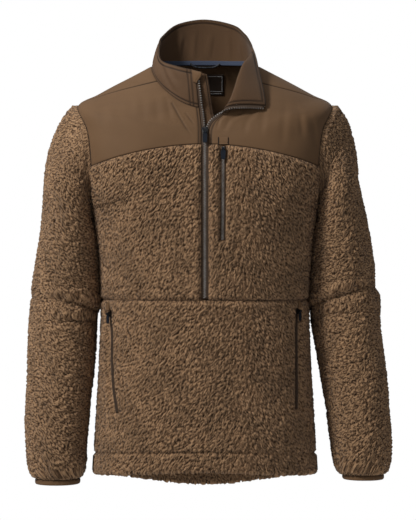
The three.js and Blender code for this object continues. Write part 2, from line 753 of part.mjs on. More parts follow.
function joined(geometries) {
  return toGeometry(geometries.map(toManifold).reduce((whole, next) => whole.add(next)));
}

// Stands a small hard piece, made with x across, y up and z out, on a frame.
function placed(geometry, frame) {
  const basis = new THREE.Matrix4().makeBasis(frame.across, frame.up, frame.out).setPosition(frame.point);
  return geometry.applyMatrix4(basis);
}

const group = new THREE.Group();
group.name = 'sherpa_pullover';
function add(name, finish, geometry) {
  const mesh = new THREE.Mesh(geometry, new THREE.MeshStandardMaterial(finishes[finish]));
  mesh.name = name;
  group.add(mesh);
}

// Hand pocket and chest pocket slits, as seen from the front.
const handPockets = {
  right: {
    side: -1,
    line: [{ x: -163.7, z: -419 }, { x: -160.3, z: -462 }, { x: -160.3, z: -505 }, { x: -156.9, z: -553.5 },
      { x: -150, z: -593 }],
    garageTop: -404,
  },
  left: {
    side: 1,
    line: [{ x: 159, z: -414 }, { x: 157.6, z: -455 }, { x: 157.6, z: -500 }, { x: 157.6, z: -545 },
      { x: 157, z: -587 }],
    garageTop: -401.8,
  },
};
const chestPocket = {
  line: [{ x: 31.4, z: -137.5 }, { x: 31, z: -190 }, { x: 30.6, z: -245 }, { x: 30, z: -297 }],
};
const slotDepth = { low: -8, high: 16 };
const tapeLift = 0.5;
const topFirst = (places) => [...places].reverse();

// The frame a little way down a line of places, with up pointing back to its top.
function downLine(places, distance) {
  const [top, next] = places;
  const length = Math.hypot(next.x - top.x, next.z - top.z);
  const spots = [distance + 3, distance, distance - 3].map((reach) => ({
    x: lerp(top.x, next.x, reach / length), z: lerp(top.z, next.z, reach / length),
  }));
  return alongLine(spots)[1];
}

function slotCutter(places, width) {
  const slot = strip(alongLine(topFirst(places)), -width / 2, width / 2, slotDepth.low, slotDepth.high);
  return toManifold(wall(slot));
}

function slotTape(places, width) {
  const half = width / 2 - clearance;
  return wall(strip(alongLine(topFirst(places)), -half, half, tapeLift, tapeLift + tapeCloth));
}

// Sliders and pulls
const hinge = { bar: 0.8, bore: 1.15, eye: 2, lug: 2.2, eyeWidth: 3, lugFrom: 1.9, lugTo: 2.9 };
const ringSteps = 12;

function disc(radius, hole = 0) {
  const shape = new THREE.Shape();
  shape.absarc(0, 0, radius, 0, Math.PI * 2, false);
  if (hole > 0) {
    const bore = new THREE.Path();
    bore.absarc(0, 0, hole, 0, Math.PI * 2, true);
    shape.holes.push(bore);
  }
  return shape;
}

// A flat shape in the plane of up and out, given a width across.
function acrossExtrusion(shape, from, to, segments = ringSteps / 2) {
  const geometry = new THREE.ExtrudeGeometry(shape, {
    depth: to - from, bevelEnabled: false, curveSegments: segments,
  });
  const basis = new THREE.Matrix4().makeBasis(vector(0, 1, 0), vector(0, 0, 1), vector(1, 0, 0));
  return geometry.applyMatrix4(basis).translate(from, 0, 0);
}

function slab(points, low, high) {
  const shape = new THREE.Shape(points.map(([x, y]) => new THREE.Vector2(x, y)));
  return new THREE.ExtrudeGeometry(shape, { depth: high - low, bevelEnabled: false }).translate(0, 0, low);
}

// The slider: a body that widens upwards, two lugs and the bar that the pull swings on.
function sliderSolid({ width, foot, length, low, high, hingeUp, hingeOut }) {
  const w = width / 2;
  const f = foot / 2;
  const h = length / 2;
  const chamfer = 1.2;
  const outline = [[-f + chamfer, -h], [f - chamfer, -h], [f, -h + chamfer], [w, h - 2 * chamfer],
    [w - chamfer, h], [0.8, h], [0, h - chamfer], [-0.8, h], [-w + chamfer, h], [-w, h - 2 * chamfer],
    [-f, -h + chamfer]];
  const parts = [slab(outline, low, high)];
  [-1, 1].forEach((side) => {
    const from = side > 0 ? hinge.lugFrom : -hinge.lugTo;
    const to = side > 0 ? hinge.lugTo : -hinge.lugFrom;
    const lug = new THREE.Shape();
    lug.moveTo(hingeUp - hinge.lug, high - 0.6);
    lug.lineTo(hingeUp + hinge.lug, high - 0.6);
    lug.lineTo(hingeUp + hinge.lug, hingeOut);
    lug.absarc(hingeUp, hingeOut, hinge.lug, 0, Math.PI, false);
    parts.push(acrossExtrusion(lug, from, to));
  });
  const bar = disc(hinge.bar);
  parts.push(acrossExtrusion(bar, -hinge.lugTo + 0.2, hinge.lugTo - 0.2).translate(0, hingeUp, hingeOut));
  return joined(parts);
}

// The pull: an eye round the bar, a neck and a flat tab that tapers downwards.
function pullSolid({ hingeUp, hingeOut, length, width, foot, low, high }) {
  const eye = acrossExtrusion(disc(hinge.eye, hinge.bore), -hinge.eyeWidth / 2, hinge.eyeWidth / 2)
    .translate(0, hingeUp, hingeOut);
  const tabTop = hingeUp - hinge.eye - 1.4;
  const tabFoot = hingeUp - length;
  const n = hinge.eyeWidth / 2;
  const w = width / 2;
  const f = foot / 2;
  const c = 1.2;
  const neck = slab([[-n, tabTop - 1], [n, tabTop - 1], [n, hingeUp - hinge.bore - 0.25],
    [-n, hingeUp - hinge.bore - 0.25]], low, high);
  const tab = slab([[-f + c, tabFoot], [f - c, tabFoot], [f, tabFoot + c], [w, tabTop - c], [w - c, tabTop],
    [-w + c, tabTop], [-w, tabTop - c], [-f, tabFoot + c]], low, high);
  return joined([eye, neck, tab]);
}

const mainZip = {
  slider: { width: 10.6, foot: 8.4, length: 13, low: 1.6, high: 4.6, hingeUp: -3.6, hingeOut: 6.6 },
  pull: { hingeUp: -3.6, hingeOut: 6.6, length: 20, width: 8.4, foot: 7, low: 5.7, high: 7.5 },
};
const pocketZip = {
  slider: { width: 6.4, foot: 5.2, length: 9, low: 2.1, high: 5, hingeUp: 1, hingeOut: 7.9 },
  pull: { hingeUp: 1, hingeOut: 7.9, length: 19, width: 9, foot: 7.4, low: 7.1, high: 8.7 },
};
const handZip = {
  slider: { ...pocketZip.slider, width: 5.4, foot: 4.6 },
  pull: { ...pocketZip.pull, length: 17, width: 8, foot: 6.6 },
};

// The cloth pieces
const lowerFront = toManifold(wall(frontLower()));
const upperFront = frontUpper();
const handCutters = Object.values(handPockets).map((pocket) => slotCutter(pocket.line, handSlot));
const pocketed = handCutters.reduce((cloth, cutter) => cloth.subtract(cutter), lowerFront);
add('front_lower', 'sherpa', toGeometry(pocketed));
add('front_upper_right', 'sherpa', wall(mirrored(upperFront)));
add('front_upper_left', 'sherpa',
  toGeometry(toManifold(wall(upperFront)).subtract(slotCutter(chestPocket.line, chestSlot))));
add('back_body', 'sherpa', wall(backBody()));
add('yoke_front_right', 'shell', wall(mirrored(yokeFront(rightOpening, () => neckRow))));
add('yoke_front_left', 'shell', wall(yokeFront(leftOpening, leftNeckRow)));
add('yoke_back', 'shell', wall(yokeBack()));
Object.entries(sleeves).forEach(([name, arm]) => {
  const cloth = sleeve(arm);
  const binding = cuffBinding(arm);
  add(`sleeve_${name}`, 'sherpa', wall(arm.side < 0 ? mirrored(cloth) : cloth, true));
  add(`cuff_binding_${name}`, 'shell', wall(arm.side < 0 ? mirrored(binding) : binding, true));
});
add('collar_shell', 'shell', wall(collarWall(collarAngles, collarLevels, 0, collarShellCloth)));
add('collar_lining', 'lining', wall(collarWall(collarAngles, collarLevels, -liningInner, -liningOuter)));

// The main zip's tapes, each along the free edge of its own side, body and collar alike.
function openingFrame(opening, side, height) {
  const x = read(opening, 'height', 'x', height);
  return frontFrame(side * x, height);
}

function zipTape(side, opening, edgeAngle, stations) {
  const edges = stations.body.map((height) => openingFrame(opening, side, height));
  const bodyFrames = edges.map((frame, k) => {
    const before = edges[Math.max(k - 1, 0)].point;
    const after = edges[Math.min(k + 1, edges.length - 1)].point;
    const along = after.clone().sub(before).normalize();
    return { ...frame, across: along.clone().cross(frame.out).normalize() };
  });
  const collarFrames = stations.collar.map((height) => collarFrame(edgeAngle, height));
  return [...bodyFrames, ...collarFrames].map(({ point, across, out }) => {
    const reach = tapeWidth + clearance + seamShare;
    const spots = side < 0 ? [clearance + seamShare, reach] : [-reach, -clearance - seamShare];
    return spots.map((distance) => faces({ point: moved(point, across, distance), out }, 0, tapeCloth));
  });
}

const zipBottom = { height: zipFoot - 5, x: zipGap };
const straightHeights = heights(zipFoot, -150, 7);
const tapeStations = {
  right: {
    body: [...straightHeights, -136, -125, -112, -100, -90, -80, -73],
    collar: [0.08, 0.25, 0.45, 0.65, 0.85, 0.97],
  },
  left: {
    body: [...straightHeights, -136, -125, -112, -106, -100, -96.5, -93, -89.5, -86.5, -83],
    collar: [0.1, 0.25, 0.4, 0.55, 0.7, 0.85, 0.98],
  },
};
add('zip_tape_right', 'tape', wall(
  zipTape(-1, [zipBottom, ...rightOpening], collarEnds.right, tapeStations.right),
));
add('zip_tape_left', 'tape', wall(
  zipTape(1, [zipBottom, ...leftOpening], collarEnds.left, tapeStations.left),
));

// The wind flap stands behind the zip on the wearer's right and shows in the open neck.
const flapBoundary = [
  { height: -122, x: 15 },
  { height: -104, x: 21 },
  { height: -90, x: 19.5 },
  { height: -77, x: 15 },
  { height: -51, x: 10.5 },
  { height: -31, x: 8 },
  { height: -9, x: 4.4 },
];
const flapDepth = { low: -5.6, high: -4.4, hidden: -5 };
const collarArc = 1.45;

// A frame beside the collar's front edge on the wearer's right: behind it along the collar, or past it.
function besideCollarEdge(level, reach) {
  const angle = collarEnds.right + Math.max(-reach, 0) / collarArc;
  const frame = collarFrame(angle, level);
  return { ...frame, point: moved(frame.point, frame.across, Math.max(reach, 0)) };
}

function windFlap() {
  const bodyRows = [-122, -104, -90, -78].map((height) => {
    const from = -read(rightOpening, 'height', 'x', Math.min(height, -66)) + flapDepth.hidden;
    const to = read(flapBoundary, 'height', 'x', height);
    return heights(from, to, 3).map((x) => frontFrame(x, height));
  });
  const collarRows = [0.1, 0.4, 0.7, 0.95].map((level) => {
    const edge = collarFrame(collarEnds.right, level);
    const to = read(flapBoundary, 'height', 'x', Math.min(edge.point.z, -9)) - edge.point.x;
    return heights(flapDepth.hidden, to, 3).map((reach) => besideCollarEdge(level, reach));
  });
  return [...bodyRows, ...collarRows].map((line) => line.map(
    (frame) => faces(frame, flapDepth.low, flapDepth.high),
  ));
}
add('wind_flap', 'lining', wall(windFlap()));

// The chin guard folds over the top of the zip on the wearer's right.
function chinGuard() {
  const levels = [0.68, 0.84, 1];
  const reaches = [-6, 0, 7, 14];
  const lift = collarShellCloth + 2 * clearance;
  return levels.map((level) => reaches.map(
    (reach) => faces(besideCollarEdge(level, reach), lift, lift + shellCloth),
  ));
}
add('chin_guard', 'shell', wall(chinGuard()));

// Inside the back neck: tape over the seam, hanger loop and label.
const neckTape = { from: 262, to: 100, high: 0.12, inner: -3.4, outer: -2.5 };
const neckTapeAngles = collarAngles.filter((angle) => angle <= neckTape.from && angle >= neckTape.to);
add('neck_tape', 'neckTape', wall([0, 0.5, 1].map((level) => neckTapeAngles.map((angle) => {
  const height = lerp(collarHeightAbove(angle, collarFoot), neckTape.high, level);
  return faces(collarFrame(angle, height), neckTape.inner, neckTape.outer);
}))));

const hangerLoop = { half: 27, thickness: 3.2, sag: 8, high: 0.06, inside: -5.7, sides: 6 };
function loopPath() {
  const points = heights(-1, 1, 10).map((share) => {
    const angle = 180 + deg(Math.asin(share * hangerLoop.half / 72));
    const frame = collarFrame(angle, hangerLoop.high);
    const point = moved(frame.point, frame.out, hangerLoop.inside);
    point.z -= hangerLoop.sag * (1 - share ** 4);
    return point;
  });
  return new THREE.CatmullRomCurve3(points);
}
add('hanger_loop', 'trim', new THREE.ExtrudeGeometry(
  new THREE.Shape(Array.from({ length: hangerLoop.sides }, (_, k) => new THREE.Vector2(
    hangerLoop.thickness / 2 * Math.cos(2 * Math.PI * k / hangerLoop.sides),
    hangerLoop.thickness / 2 * Math.sin(2 * Math.PI * k / hangerLoop.sides),
  ))),
  { steps: 14, bevelEnabled: false, extrudePath: loopPath() },
));

const label = { half: 34, top: 4, foot: -32, inner: -1.9, outer: -1.1 };
function labelWall() {
  return heights(label.foot, label.top, 3).map((height) => heights(label.half, -label.half, 8).map((x) => {
    let turn = 180;
    let row = 12;
    for (let step = 0; step < 12; step += 1) {
      row = rowAt(turn, height);
      turn = 180 - deg(Math.atan2(x, bodyPoint(turn, row).y));
    }
    return faces(bodyFrame(turn, row), label.inner, label.outer);
  }));
}
add('neck_label', 'label', wall(labelWall()));

// Pocket tapes, garages, sliders and pulls
const garageCloth = 1;
const garageWidth = 9;
const pocketSliderDrop = 6;
add('chest_zip_tape', 'tape', slotTape(chestPocket.line, chestSlot));
add('chest_garage', 'trim', wall(strip(alongLine([{ x: 31.4, z: -134.4 }, { x: 31.4, z: -122.5 }]),
  -garageWidth, garageWidth, shellCloth + clearance, shellCloth + clearance + garageCloth)));
const chestSliderFrame = downLine(chestPocket.line, pocketSliderDrop);
add('chest_slider', 'slider', placed(sliderSolid(pocketZip.slider), chestSliderFrame));
add('chest_pull', 'trim', placed(pullSolid(pocketZip.pull), chestSliderFrame));
Object.entries(handPockets).forEach(([name, pocket]) => {
  const top = pocket.line[0];
  add(`hand_zip_tape_${name}`, 'tape', slotTape(pocket.line, handSlot));
  add(`hand_garage_${name}`, 'trim', wall(strip(
    alongLine([{ x: top.x, z: top.z + 0.8 }, { x: top.x, z: pocket.garageTop }]),
    -garageWidth / 2, garageWidth / 2, sherpaPile + clearance, sherpaPile + clearance + garageCloth,
  )));
  const frame = downLine(pocket.line, pocketSliderDrop);
  add(`hand_slider_${name}`, 'slider', placed(sliderSolid(handZip.slider), frame));
  add(`hand_pull_${name}`, 'trim', placed(pullSolid(handZip.pull), frame));
});
const mainSliderFrame = frontFrame(0, mainSliderHeight);
add('zip_slider_main', 'slider', placed(sliderSolid(mainZip.slider), mainSliderFrame));
add('pull_main', 'trim', placed(pullSolid(mainZip.pull), mainSliderFrame));

// Dark tabs over the side seams at the hem
const hemTab = { turns: [86, 88, 90, 92, 94], rows: [0.08, 0.35, 0.62, 0.88], cloth: 1 };
const tabLift = sherpaPile + clearance;
const tabWall = hemTab.rows.map((row) => hemTab.turns.map(
  (turn) => faces(bodyFrame(turn, row), tabLift, tabLift + hemTab.cloth),
));
add('hem_tab_left', 'trim', wall(tabWall));
add('hem_tab_right', 'trim', wall(mirrored(tabWall)));

export default group;
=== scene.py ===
"""Looks of a sherpa fleece half-zip pullover, in its worn shape with nobody in it."""

import math

import bmesh
import bpy
import numpy as np
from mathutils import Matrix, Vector


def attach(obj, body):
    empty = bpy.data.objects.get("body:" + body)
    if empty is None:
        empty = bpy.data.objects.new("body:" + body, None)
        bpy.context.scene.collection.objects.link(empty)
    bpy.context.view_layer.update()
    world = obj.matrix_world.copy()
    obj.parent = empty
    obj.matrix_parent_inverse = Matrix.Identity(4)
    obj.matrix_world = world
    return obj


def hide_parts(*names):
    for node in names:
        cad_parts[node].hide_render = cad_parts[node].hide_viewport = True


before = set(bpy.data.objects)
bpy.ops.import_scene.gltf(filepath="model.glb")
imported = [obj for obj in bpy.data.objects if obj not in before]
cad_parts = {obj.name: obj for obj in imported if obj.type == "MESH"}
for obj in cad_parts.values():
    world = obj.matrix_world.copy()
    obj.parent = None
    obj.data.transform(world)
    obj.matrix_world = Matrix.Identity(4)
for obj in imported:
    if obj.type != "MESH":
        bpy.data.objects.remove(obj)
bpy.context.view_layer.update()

# Shapes are worked out in millimetres and put into the meshes in metres.
MM = 0.001
GARMENT = "garment"

# The photograph's view: a level camera in front of the garment.
CAMERA_PLACE = (0.0053, -3.5, -0.331)
CAMERA_ANGLE = 14.9

# Cloth, in millimetres
SHELL = 2.0
SEAM_SHARE = 0.2
ZIP_GAP = 6.0
TAPE_LIFT = 0.5
TAPE_CLOTH = 1.2

# Steps of the grids, and how many of them one step of the hidden side takes
PILE_STEP = 1.75
BACK_STEP = 2.25
INNER_EVERY = 4

# The body, ring by ring from the hem to the neck seam, as in the part's source.
ROWS = np.arange(15.0)
BODY = {
    "z_front": [-690, -657, -590, -510, -400, -320, -262, -222, -185, -158, -136, -118, -102, -86, -70],
    "z_side": [-703, -668, -596, -510, -400, -318, -243, -190, -135, -92, -60, -42, -24, -7, 9],
    "z_back": [-738, -700, -615, -515, -400, -315, -240, -185, -130, -88, -54, -32, -12, 6, 21],
    "half": [190, 188, 184, 179, 176, 181, 191, 203, 211, 217, 221, 188, 155, 122, 92],
    "front": [127, 127, 125, 122, 119, 121, 121, 119, 115, 110, 105, 100, 94, 88, 82],
    "back": [124, 123, 120, 114, 109, 111, 115, 117, 117, 114, 108, 102, 94, 83, 70],
    "power": [2.45, 2.45, 2.45, 2.4, 2.4, 2.45, 2.6, 2.8, 2.9, 2.8, 2.6, 2.45, 2.35, 2.25, 2.1],
}
RING_DIP = 1.25
WAIST_ROW = 4.0
NECK_ROW = 14.0
ARMHOLE = {"turn": 90.0, "low": 6.0, "high": 10.0, "reach": 18.0, "power": 2.2}
SHOULDER_TURN = {"armhole": 90.0, "neck": 63.0}
YOKE_DIP = {
    "front": -134.0, "front_drop": 39.0, "back": -150.0, "back_drop": 10.0, "half": 206.0, "power": 1.9,
}
OPEN_NECK = {"turn": 22.0, "fade": 56.0, "height": -79.0}
RIGHT_OPENING = {"height": [-135, -104, -86, -66], "x": [6, 6, 7.5, 10]}
LEFT_OPENING = {"height": [-135, -112, -100, -93, -86.5, -79], "x": [6, 6.4, 10.4, 15.5, 24, 34]}

# The sleeves, ring by ring from the underarm down.
SLEEVES = {
    "right": {
        "side": -1,
        "cuff": {"top": 711.8, "height": 9.0, "outer": 297.0, "inner": 218.0, "back": 22.0, "deep": 46.0},
        "drop": [226, 280, 334, 377, 398, 440, 503, 567, 609, 651, 693, 711.4],
        "outer": [275.5, 281.5, 291.5, 298.5, 300, 303.7, 305.5, 307, 309, 307, 302, 293],
        "inner": [201, 193, 189, 188, 188.5, 196.5, 199.6, 206.6, 210, 213.7, 215.4, 223],
        "back": [2, 5, 8, 12, 12, 10, 4, -4, -9, -15, -20, -22],
        "deep": [74, 72, 69, 66, 64, 62, 59, 56, 54, 52, 48, 42],
        "rise": [36, 10, 0, 0, 0, 0, 0, 0, 0, 0, 0, 0],
    },
    "left": {
        "side": 1,
        "cuff": {"top": 704.2, "height": 8.5, "outer": 313.0, "inner": 240.0, "back": 22.0, "deep": 43.0},
        "drop": [226, 280, 334, 377, 398, 440, 503, 546, 588, 630, 672, 693, 703.8],
        "outer": [262, 280, 291, 294, 302, 302, 309, 314, 316, 319.6, 319.6, 315, 310],
        "inner": [201, 193, 189, 188, 188.5, 193.5, 205, 212, 219, 224, 229.5, 235, 243],
        "back": [2, 5, 8, 12, 12, 10, 4, -2, -7, -12, -18, -20, -22],
        "deep": [74, 72, 69, 66, 64, 62, 59, 57, 55, 53, 50, 46, 40],
        "rise": [36, 10, 0, 0, 0, 0, 0, 0, 0, 0, 0, 0, 0],
    },
}

# The collar, station by station round the neck from the wearer's right front edge.
COLLAR = {
    "angle": [7, 30, 60, 90, 120, 150, 180, 210, 240, 258, 270, 282, 295, 315, 330, 338],
    "x": [-17, -48, -77, -79.5, -73, -48, 0, 50, 70.5, 79.5, 84.5, 89.5, 93.5, 99.5, 103.5, 104.5],
    "y": [-95, -76, -34, 16, 38, 64, 72, 57, 34, 12, -4, -22, -42, -66, -81, -86],
    "z": [-6, 3, 19, 54, 70, 92, 101, 89.5, 71, 54, 40, 22, 0, -30, -54, -66],
    "mid_x": [-12, -47, -86, -90, -79, -47, 0, 46, 77, 83, 80, 66, 44, 26, 22, 22],
    "mid_y": [-94, -79, -44, 8, 43, 70, 75, 67, 40, 8, -12, -40, -70, -106, -112, -112],
    "mid_z": [-38, -28, -3, 31, 41, 54, 60, 52, 41, 40, 38, 32, 21, -31, -52, -61],
}
COLLAR_FOOT = 0.4
COLLAR_SHELL = 1.5


# Reading the tables, and places worked out in rounds

HALVINGS = 32
ROUNDS = 12
ROWS_SOUGHT = (-0.5, 14.5)
SEAM_ROWS_SOUGHT = (5.0, 13.0)
NUDGE = {"turn": 0.5, "row": 0.02, "height": 0.01}


def read(keys, values, at):
    """A smooth curve through a table's column, read at any places along its keys."""
    keys = np.asarray(keys, float)
    values = np.asarray(values, float)
    at = np.asarray(at, float)
    last = len(keys) - 1
    before = np.maximum(np.arange(last + 1) - 1, 0)
    after = np.minimum(np.arange(last + 1) + 1, last)
    slope = (values[after] - values[before]) / (keys[after] - keys[before])
    i = np.clip(np.searchsorted(keys, at, side="right") - 1, 0, last - 1)
    span = keys[i + 1] - keys[i]
    t = (at - keys[i]) / span
    t2 = t * t
    t3 = t2 * t
    return ((2 * t3 - 3 * t2 + 1) * values[i] + (t3 - 2 * t2 + t) * span * slope[i]
            + (3 * t2 - 2 * t3) * values[i + 1] + (t3 - t2) * span * slope[i + 1])


def crossing(low, high, height):
    """Where a rising or falling function crosses nought between two places."""
    rising = height(high) > height(low)
    for _ in range(HALVINGS):
        middle = (low + high) / 2
        above = (height(middle) > 0) == rising
        high = np.where(above, middle, high)
        low = np.where(above, low, middle)
    return (low + high) / 2


def smooth(value, low, high):
    t = np.clip((value - low) / (high - low), 0, 1)
    return t * t * (3 - 2 * t)


def mix(a, b, share):
    return a + (b - a) * share


def rounded(value, power):
    return np.sign(value) * np.abs(value) ** (2 / power)


def bell(distance):
    return np.exp(-distance * distance)


def unit(vectors):
    return vectors / np.maximum(np.linalg.norm(vectors, axis=-1, keepdims=True), 1e-9)


def stack(x, y, z):
    return np.stack(np.broadcast_arrays(x, y, z), axis=-1).astype(float)


# The garment's surfaces: each gives points on the inner face of the cloth.

def body_point(turn, row):
    """Turn is in degrees from the front centre towards the wearer's left, and row is a place in the table."""
    turn = np.radians(turn)
    across = np.sin(turn)
    ahead = np.cos(turn)
    front = ahead >= 0
    half = read(ROWS, BODY["half"], row)
    depth = np.where(front, read(ROWS, BODY["front"], row), read(ROWS, BODY["back"], row))
    power = read(ROWS, BODY["power"], row)
    reach = (np.abs(across / half) ** power + np.abs(ahead / depth) ** power) ** (-1 / power)
    side = read(ROWS, BODY["z_side"], row)
    centre = np.where(front, read(ROWS, BODY["z_front"], row), read(ROWS, BODY["z_back"], row))
    return stack(reach * across, -reach * ahead, mix(side, centre, np.abs(ahead) ** RING_DIP))


def row_at(turn, height):
    turn = np.asarray(turn, float)
    low, high = (np.full(turn.shape, row) for row in ROWS_SOUGHT)
    return crossing(low, high, lambda row: body_point(turn, row)[..., 2] - height)


def turn_at(x, row):
    turn = np.zeros(np.broadcast(x, row).shape)
    for _ in range(ROUNDS):
        turn = np.degrees(np.arctan2(x, -body_point(turn, row)[..., 1]))
    return turn


def front_spot(x, height):
    """The turn and row of a place on the front, given as seen from the front."""
    x, height = np.broadcast_arrays(np.asarray(x, float), np.asarray(height, float))
    turn = np.zeros(x.shape)
    for _ in range(ROUNDS):
        row = row_at(turn, height)
        turn = turn_at(x, row)
    return turn, row


def frame_on(point, across, up):
    """A point with its directions across, up and out, square to each other."""
    across = unit(across)
    out = unit(np.cross(across, unit(up)))
    return point, across, np.cross(out, across), out


def body_frame(turn, row):
    across = body_point(turn + NUDGE["turn"], row) - body_point(turn - NUDGE["turn"], row)
    up = body_point(turn, row + NUDGE["row"]) - body_point(turn, row - NUDGE["row"])
    return frame_on(body_point(turn, row), across, up)


def front_frame(x, height):
    return body_frame(*front_spot(x, height))


def armhole_spot(angle, scale=1.0):
    angle = np.radians(angle)
    middle = (ARMHOLE["low"] + ARMHOLE["high"]) / 2
    half_rows = (ARMHOLE["high"] - ARMHOLE["low"]) / 2
    turn = ARMHOLE["turn"] - ARMHOLE["reach"] * scale * rounded(np.sin(angle), ARMHOLE["power"])
    row = middle + half_rows * scale * rounded(np.cos(angle), ARMHOLE["power"])
    return turn, row


def yoke_fall(x):
    return (np.abs(x) / YOKE_DIP["half"]) ** YOKE_DIP["power"]


def front_seam_height(x):
    return YOKE_DIP["front"] - YOKE_DIP["front_drop"] * yoke_fall(x)


def back_seam_height(x):
    return YOKE_DIP["back"] - YOKE_DIP["back_drop"] * yoke_fall(x)


def seam_angle(low, high, seam_height):
    def above(angle):
        point = body_point(*armhole_spot(angle))
        return point[..., 2] - seam_height(point[..., 0])
    return float(crossing(np.array(float(low)), np.array(float(high)), above))


def seam_rows(first, last, seam_height):
    """The rows of a yoke seam, worked out once along the turns that it covers."""
    turns = np.arange(first, last + NUDGE["turn"] / 2, NUDGE["turn"])

    def above(row):
        point = body_point(turns, row)
        return point[..., 2] - seam_height(point[..., 0])
    rows = crossing(*(np.full(turns.shape, row) for row in SEAM_ROWS_SOUGHT), above)
    return lambda turn: np.interp(turn, turns, rows)


front_seam_row = seam_rows(-108, 108, front_seam_height)
back_seam_row = seam_rows(72, 288, back_seam_height)
open_neck_row = float(row_at(np.array(OPEN_NECK["turn"]), OPEN_NECK["height"]))


def left_neck_row(turn):
    fade = smooth(OPEN_NECK["fade"] - turn, 0, OPEN_NECK["fade"] - OPEN_NECK["turn"])
    return mix(NECK_ROW, open_neck_row, fade)


ARMHOLE_CORNERS = [
    0, seam_angle(10, 175, front_seam_height), 180, seam_angle(185, 350, back_seam_height), 360,
]


def constant(value):
    return lambda turn: np.full(np.shape(turn), float(value))


def steps_between(first, last, count):
    return np.linspace(first, last, count + 1)


def joined(*parts):
    """Runs of values one after the other, each starting where the last one ended."""
    return np.concatenate([parts[0], *[part[1:] for part in parts[1:]]])


def panel_points(shares, edge_turn, edge_row, far_turn, low, high):
    """A cut piece of the body: rows follow its outer edge, and shares run from its far edge to that edge."""
    level = (edge_row - low(edge_turn)) / (high(edge_turn) - low(edge_turn))
    far = far_turn(level, edge_turn)
    turn = mix(far[:, None], edge_turn[:, None], shares[None, :])
    row = mix(low(turn), high(turn), level[:, None])
    return body_point(turn, row), turn, row


def tube_normals(points):
    """Normals of a tube's grid, whose columns run round it and whose rows run along it."""
    across = np.roll(points, -1, axis=1) - np.roll(points, 1, axis=1)
    return unit(np.cross(across, np.gradient(points, axis=0)))


def lengths_along(points, axis):
    """How far along a grid each point lies, in millimetres, from its first row or column."""
    steps = np.linalg.norm(np.diff(points, axis=axis), axis=-1)
    start = np.zeros_like(np.take(steps, [0], axis=axis))
    return np.concatenate([start, np.cumsum(steps, axis=axis)], axis=axis)


def edge_distance(points, foot=True):
    """How far each point of a grid lies from its nearest edge, its foot counted or not."""
    along, height = lengths_along(points, 1), lengths_along(points, 0)
    near = np.minimum(np.minimum(along, along[:, [-1]] - along), height[[-1]] - height)
    return np.minimum(near, height) if foot else near


def lifted(points, out, lift):
    """Points moved out, by one lift for each of them or the same for all."""
    return points + out * np.asarray(lift)[..., None]


def mirrored(grid):
    return (grid * np.array([-1.0, 1.0, 1.0]))[:, ::-1]


# Meshes

def laid_grid(bm, points, around, flipped=False):
    """A grid from the operator with every vertex moved to its point; a tube's last cells are bridged."""
    rows, columns = points.shape[:2]
    grid = bmesh.ops.create_grid(bm, x_segments=columns - 1, y_segments=rows - 1, size=1.0)["verts"]
    for vertex, place in zip(grid, points.reshape(-1, 3) * MM):
        vertex.co = place
    faces = {face for vertex in grid for face in vertex.link_faces}
    if around:
        bm.verts.index_update()
        first = {grid[k * columns] for k in range(rows)}
        last = {grid[k * columns + columns - 1] for k in range(rows)}
        ends = [edge for edge in edges_of(grid)
                if set(edge.verts) <= first or set(edge.verts) <= last]
        faces.update(bmesh.ops.bridge_loops(bm, edges=ends)["faces"])
    if flipped:
        bmesh.ops.reverse_faces(bm, faces=list(faces))
    return grid


def edges_of(vertices):
    return {edge for vertex in vertices for edge in vertex.link_edges}


def border(vertices):
    return [edge for edge in edges_of(vertices) if edge.is_boundary]


def tube_end(vertices, columns, last_row):
    line = set(vertices[-columns:] if last_row else vertices[:columns])
    return [edge for edge in border(line) if set(edge.verts) <= line]


def finished(name, bm, material, nodes=(), body=GARMENT):
    mesh = bpy.data.meshes.new(name)
    bm.to_mesh(mesh)
    bm.free()
    mesh.polygons.foreach_set("use_smooth", np.ones(len(mesh.polygons), bool))
    piece = bpy.data.objects.new(name, mesh)
    bpy.context.scene.collection.objects.link(piece)
    mesh.materials.append(material)
    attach(piece, body)
    if nodes:
        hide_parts(*nodes)
    return piece


def set_values(piece, name, values):
    """A named value at every vertex, for the piece's material to read."""
    layer = piece.data.attributes.new(name, "FLOAT", "POINT")
    layer.data.foreach_set("value", np.asarray(values, np.float32))


def set_lay(piece, places):
    """How the cloth lies: distances along and up it in metres, which weave and pile follow."""
    layer = piece.data.attributes.new("lay", "FLOAT_VECTOR", "POINT")
    flat = np.zeros((len(places), 3), np.float32)
    flat[:, :2] = places * MM
    layer.data.foreach_set("vector", flat.ravel())


def set_painted_shade(piece, seam):
    """Painted shade along edges, sewing and narrow creases, at the outer vertices from 0 to 1; the hidden
    side has none.
    """
    hidden = np.zeros(len(piece.data.vertices) - seam.size)
    set_values(piece, "seam", np.concatenate([seam.ravel(), hidden]))


def cloth_wall(solid, kind, outer, inner, places, material, around=False):
    """A closed wall of cloth in a solid's place, between a fine outer grid and an inner one."""
    bm = bmesh.new()
    outside = laid_grid(bm, outer, around)
    inside = laid_grid(bm, inner, around, flipped=True)
    if around:
        for last_row in (False, True):
            edges = tube_end(outside, outer.shape[1], last_row) + tube_end(inside, inner.shape[1], last_row)
            bmesh.ops.bridge_loops(bm, edges=edges)
    else:
        bmesh.ops.bridge_loops(bm, edges=border(outside) + border(inside))
    piece = finished(f"{solid}_{kind}", bm, material, (solid,))
    inner_places = places if inner.shape == outer.shape else places_on(inner)
    set_lay(piece, np.concatenate([places.reshape(-1, 2), inner_places.reshape(-1, 2)]))
    return piece


def inward_cloth(solid, kind, inside, hidden, places, material):
    """A wall of cloth that shows on the wearer's side."""
    inside, hidden, places = (grid[:, ::-1] for grid in (inside, hidden, places))
    return cloth_wall(solid, kind, inside, hidden, places, material)


# Lines and bands on the cloth, and small things repeated along them

LINE_STEP = 2.0


def between(first, last, step):
    return steps_between(first, last, max(round(abs(last - first) / step), 1))


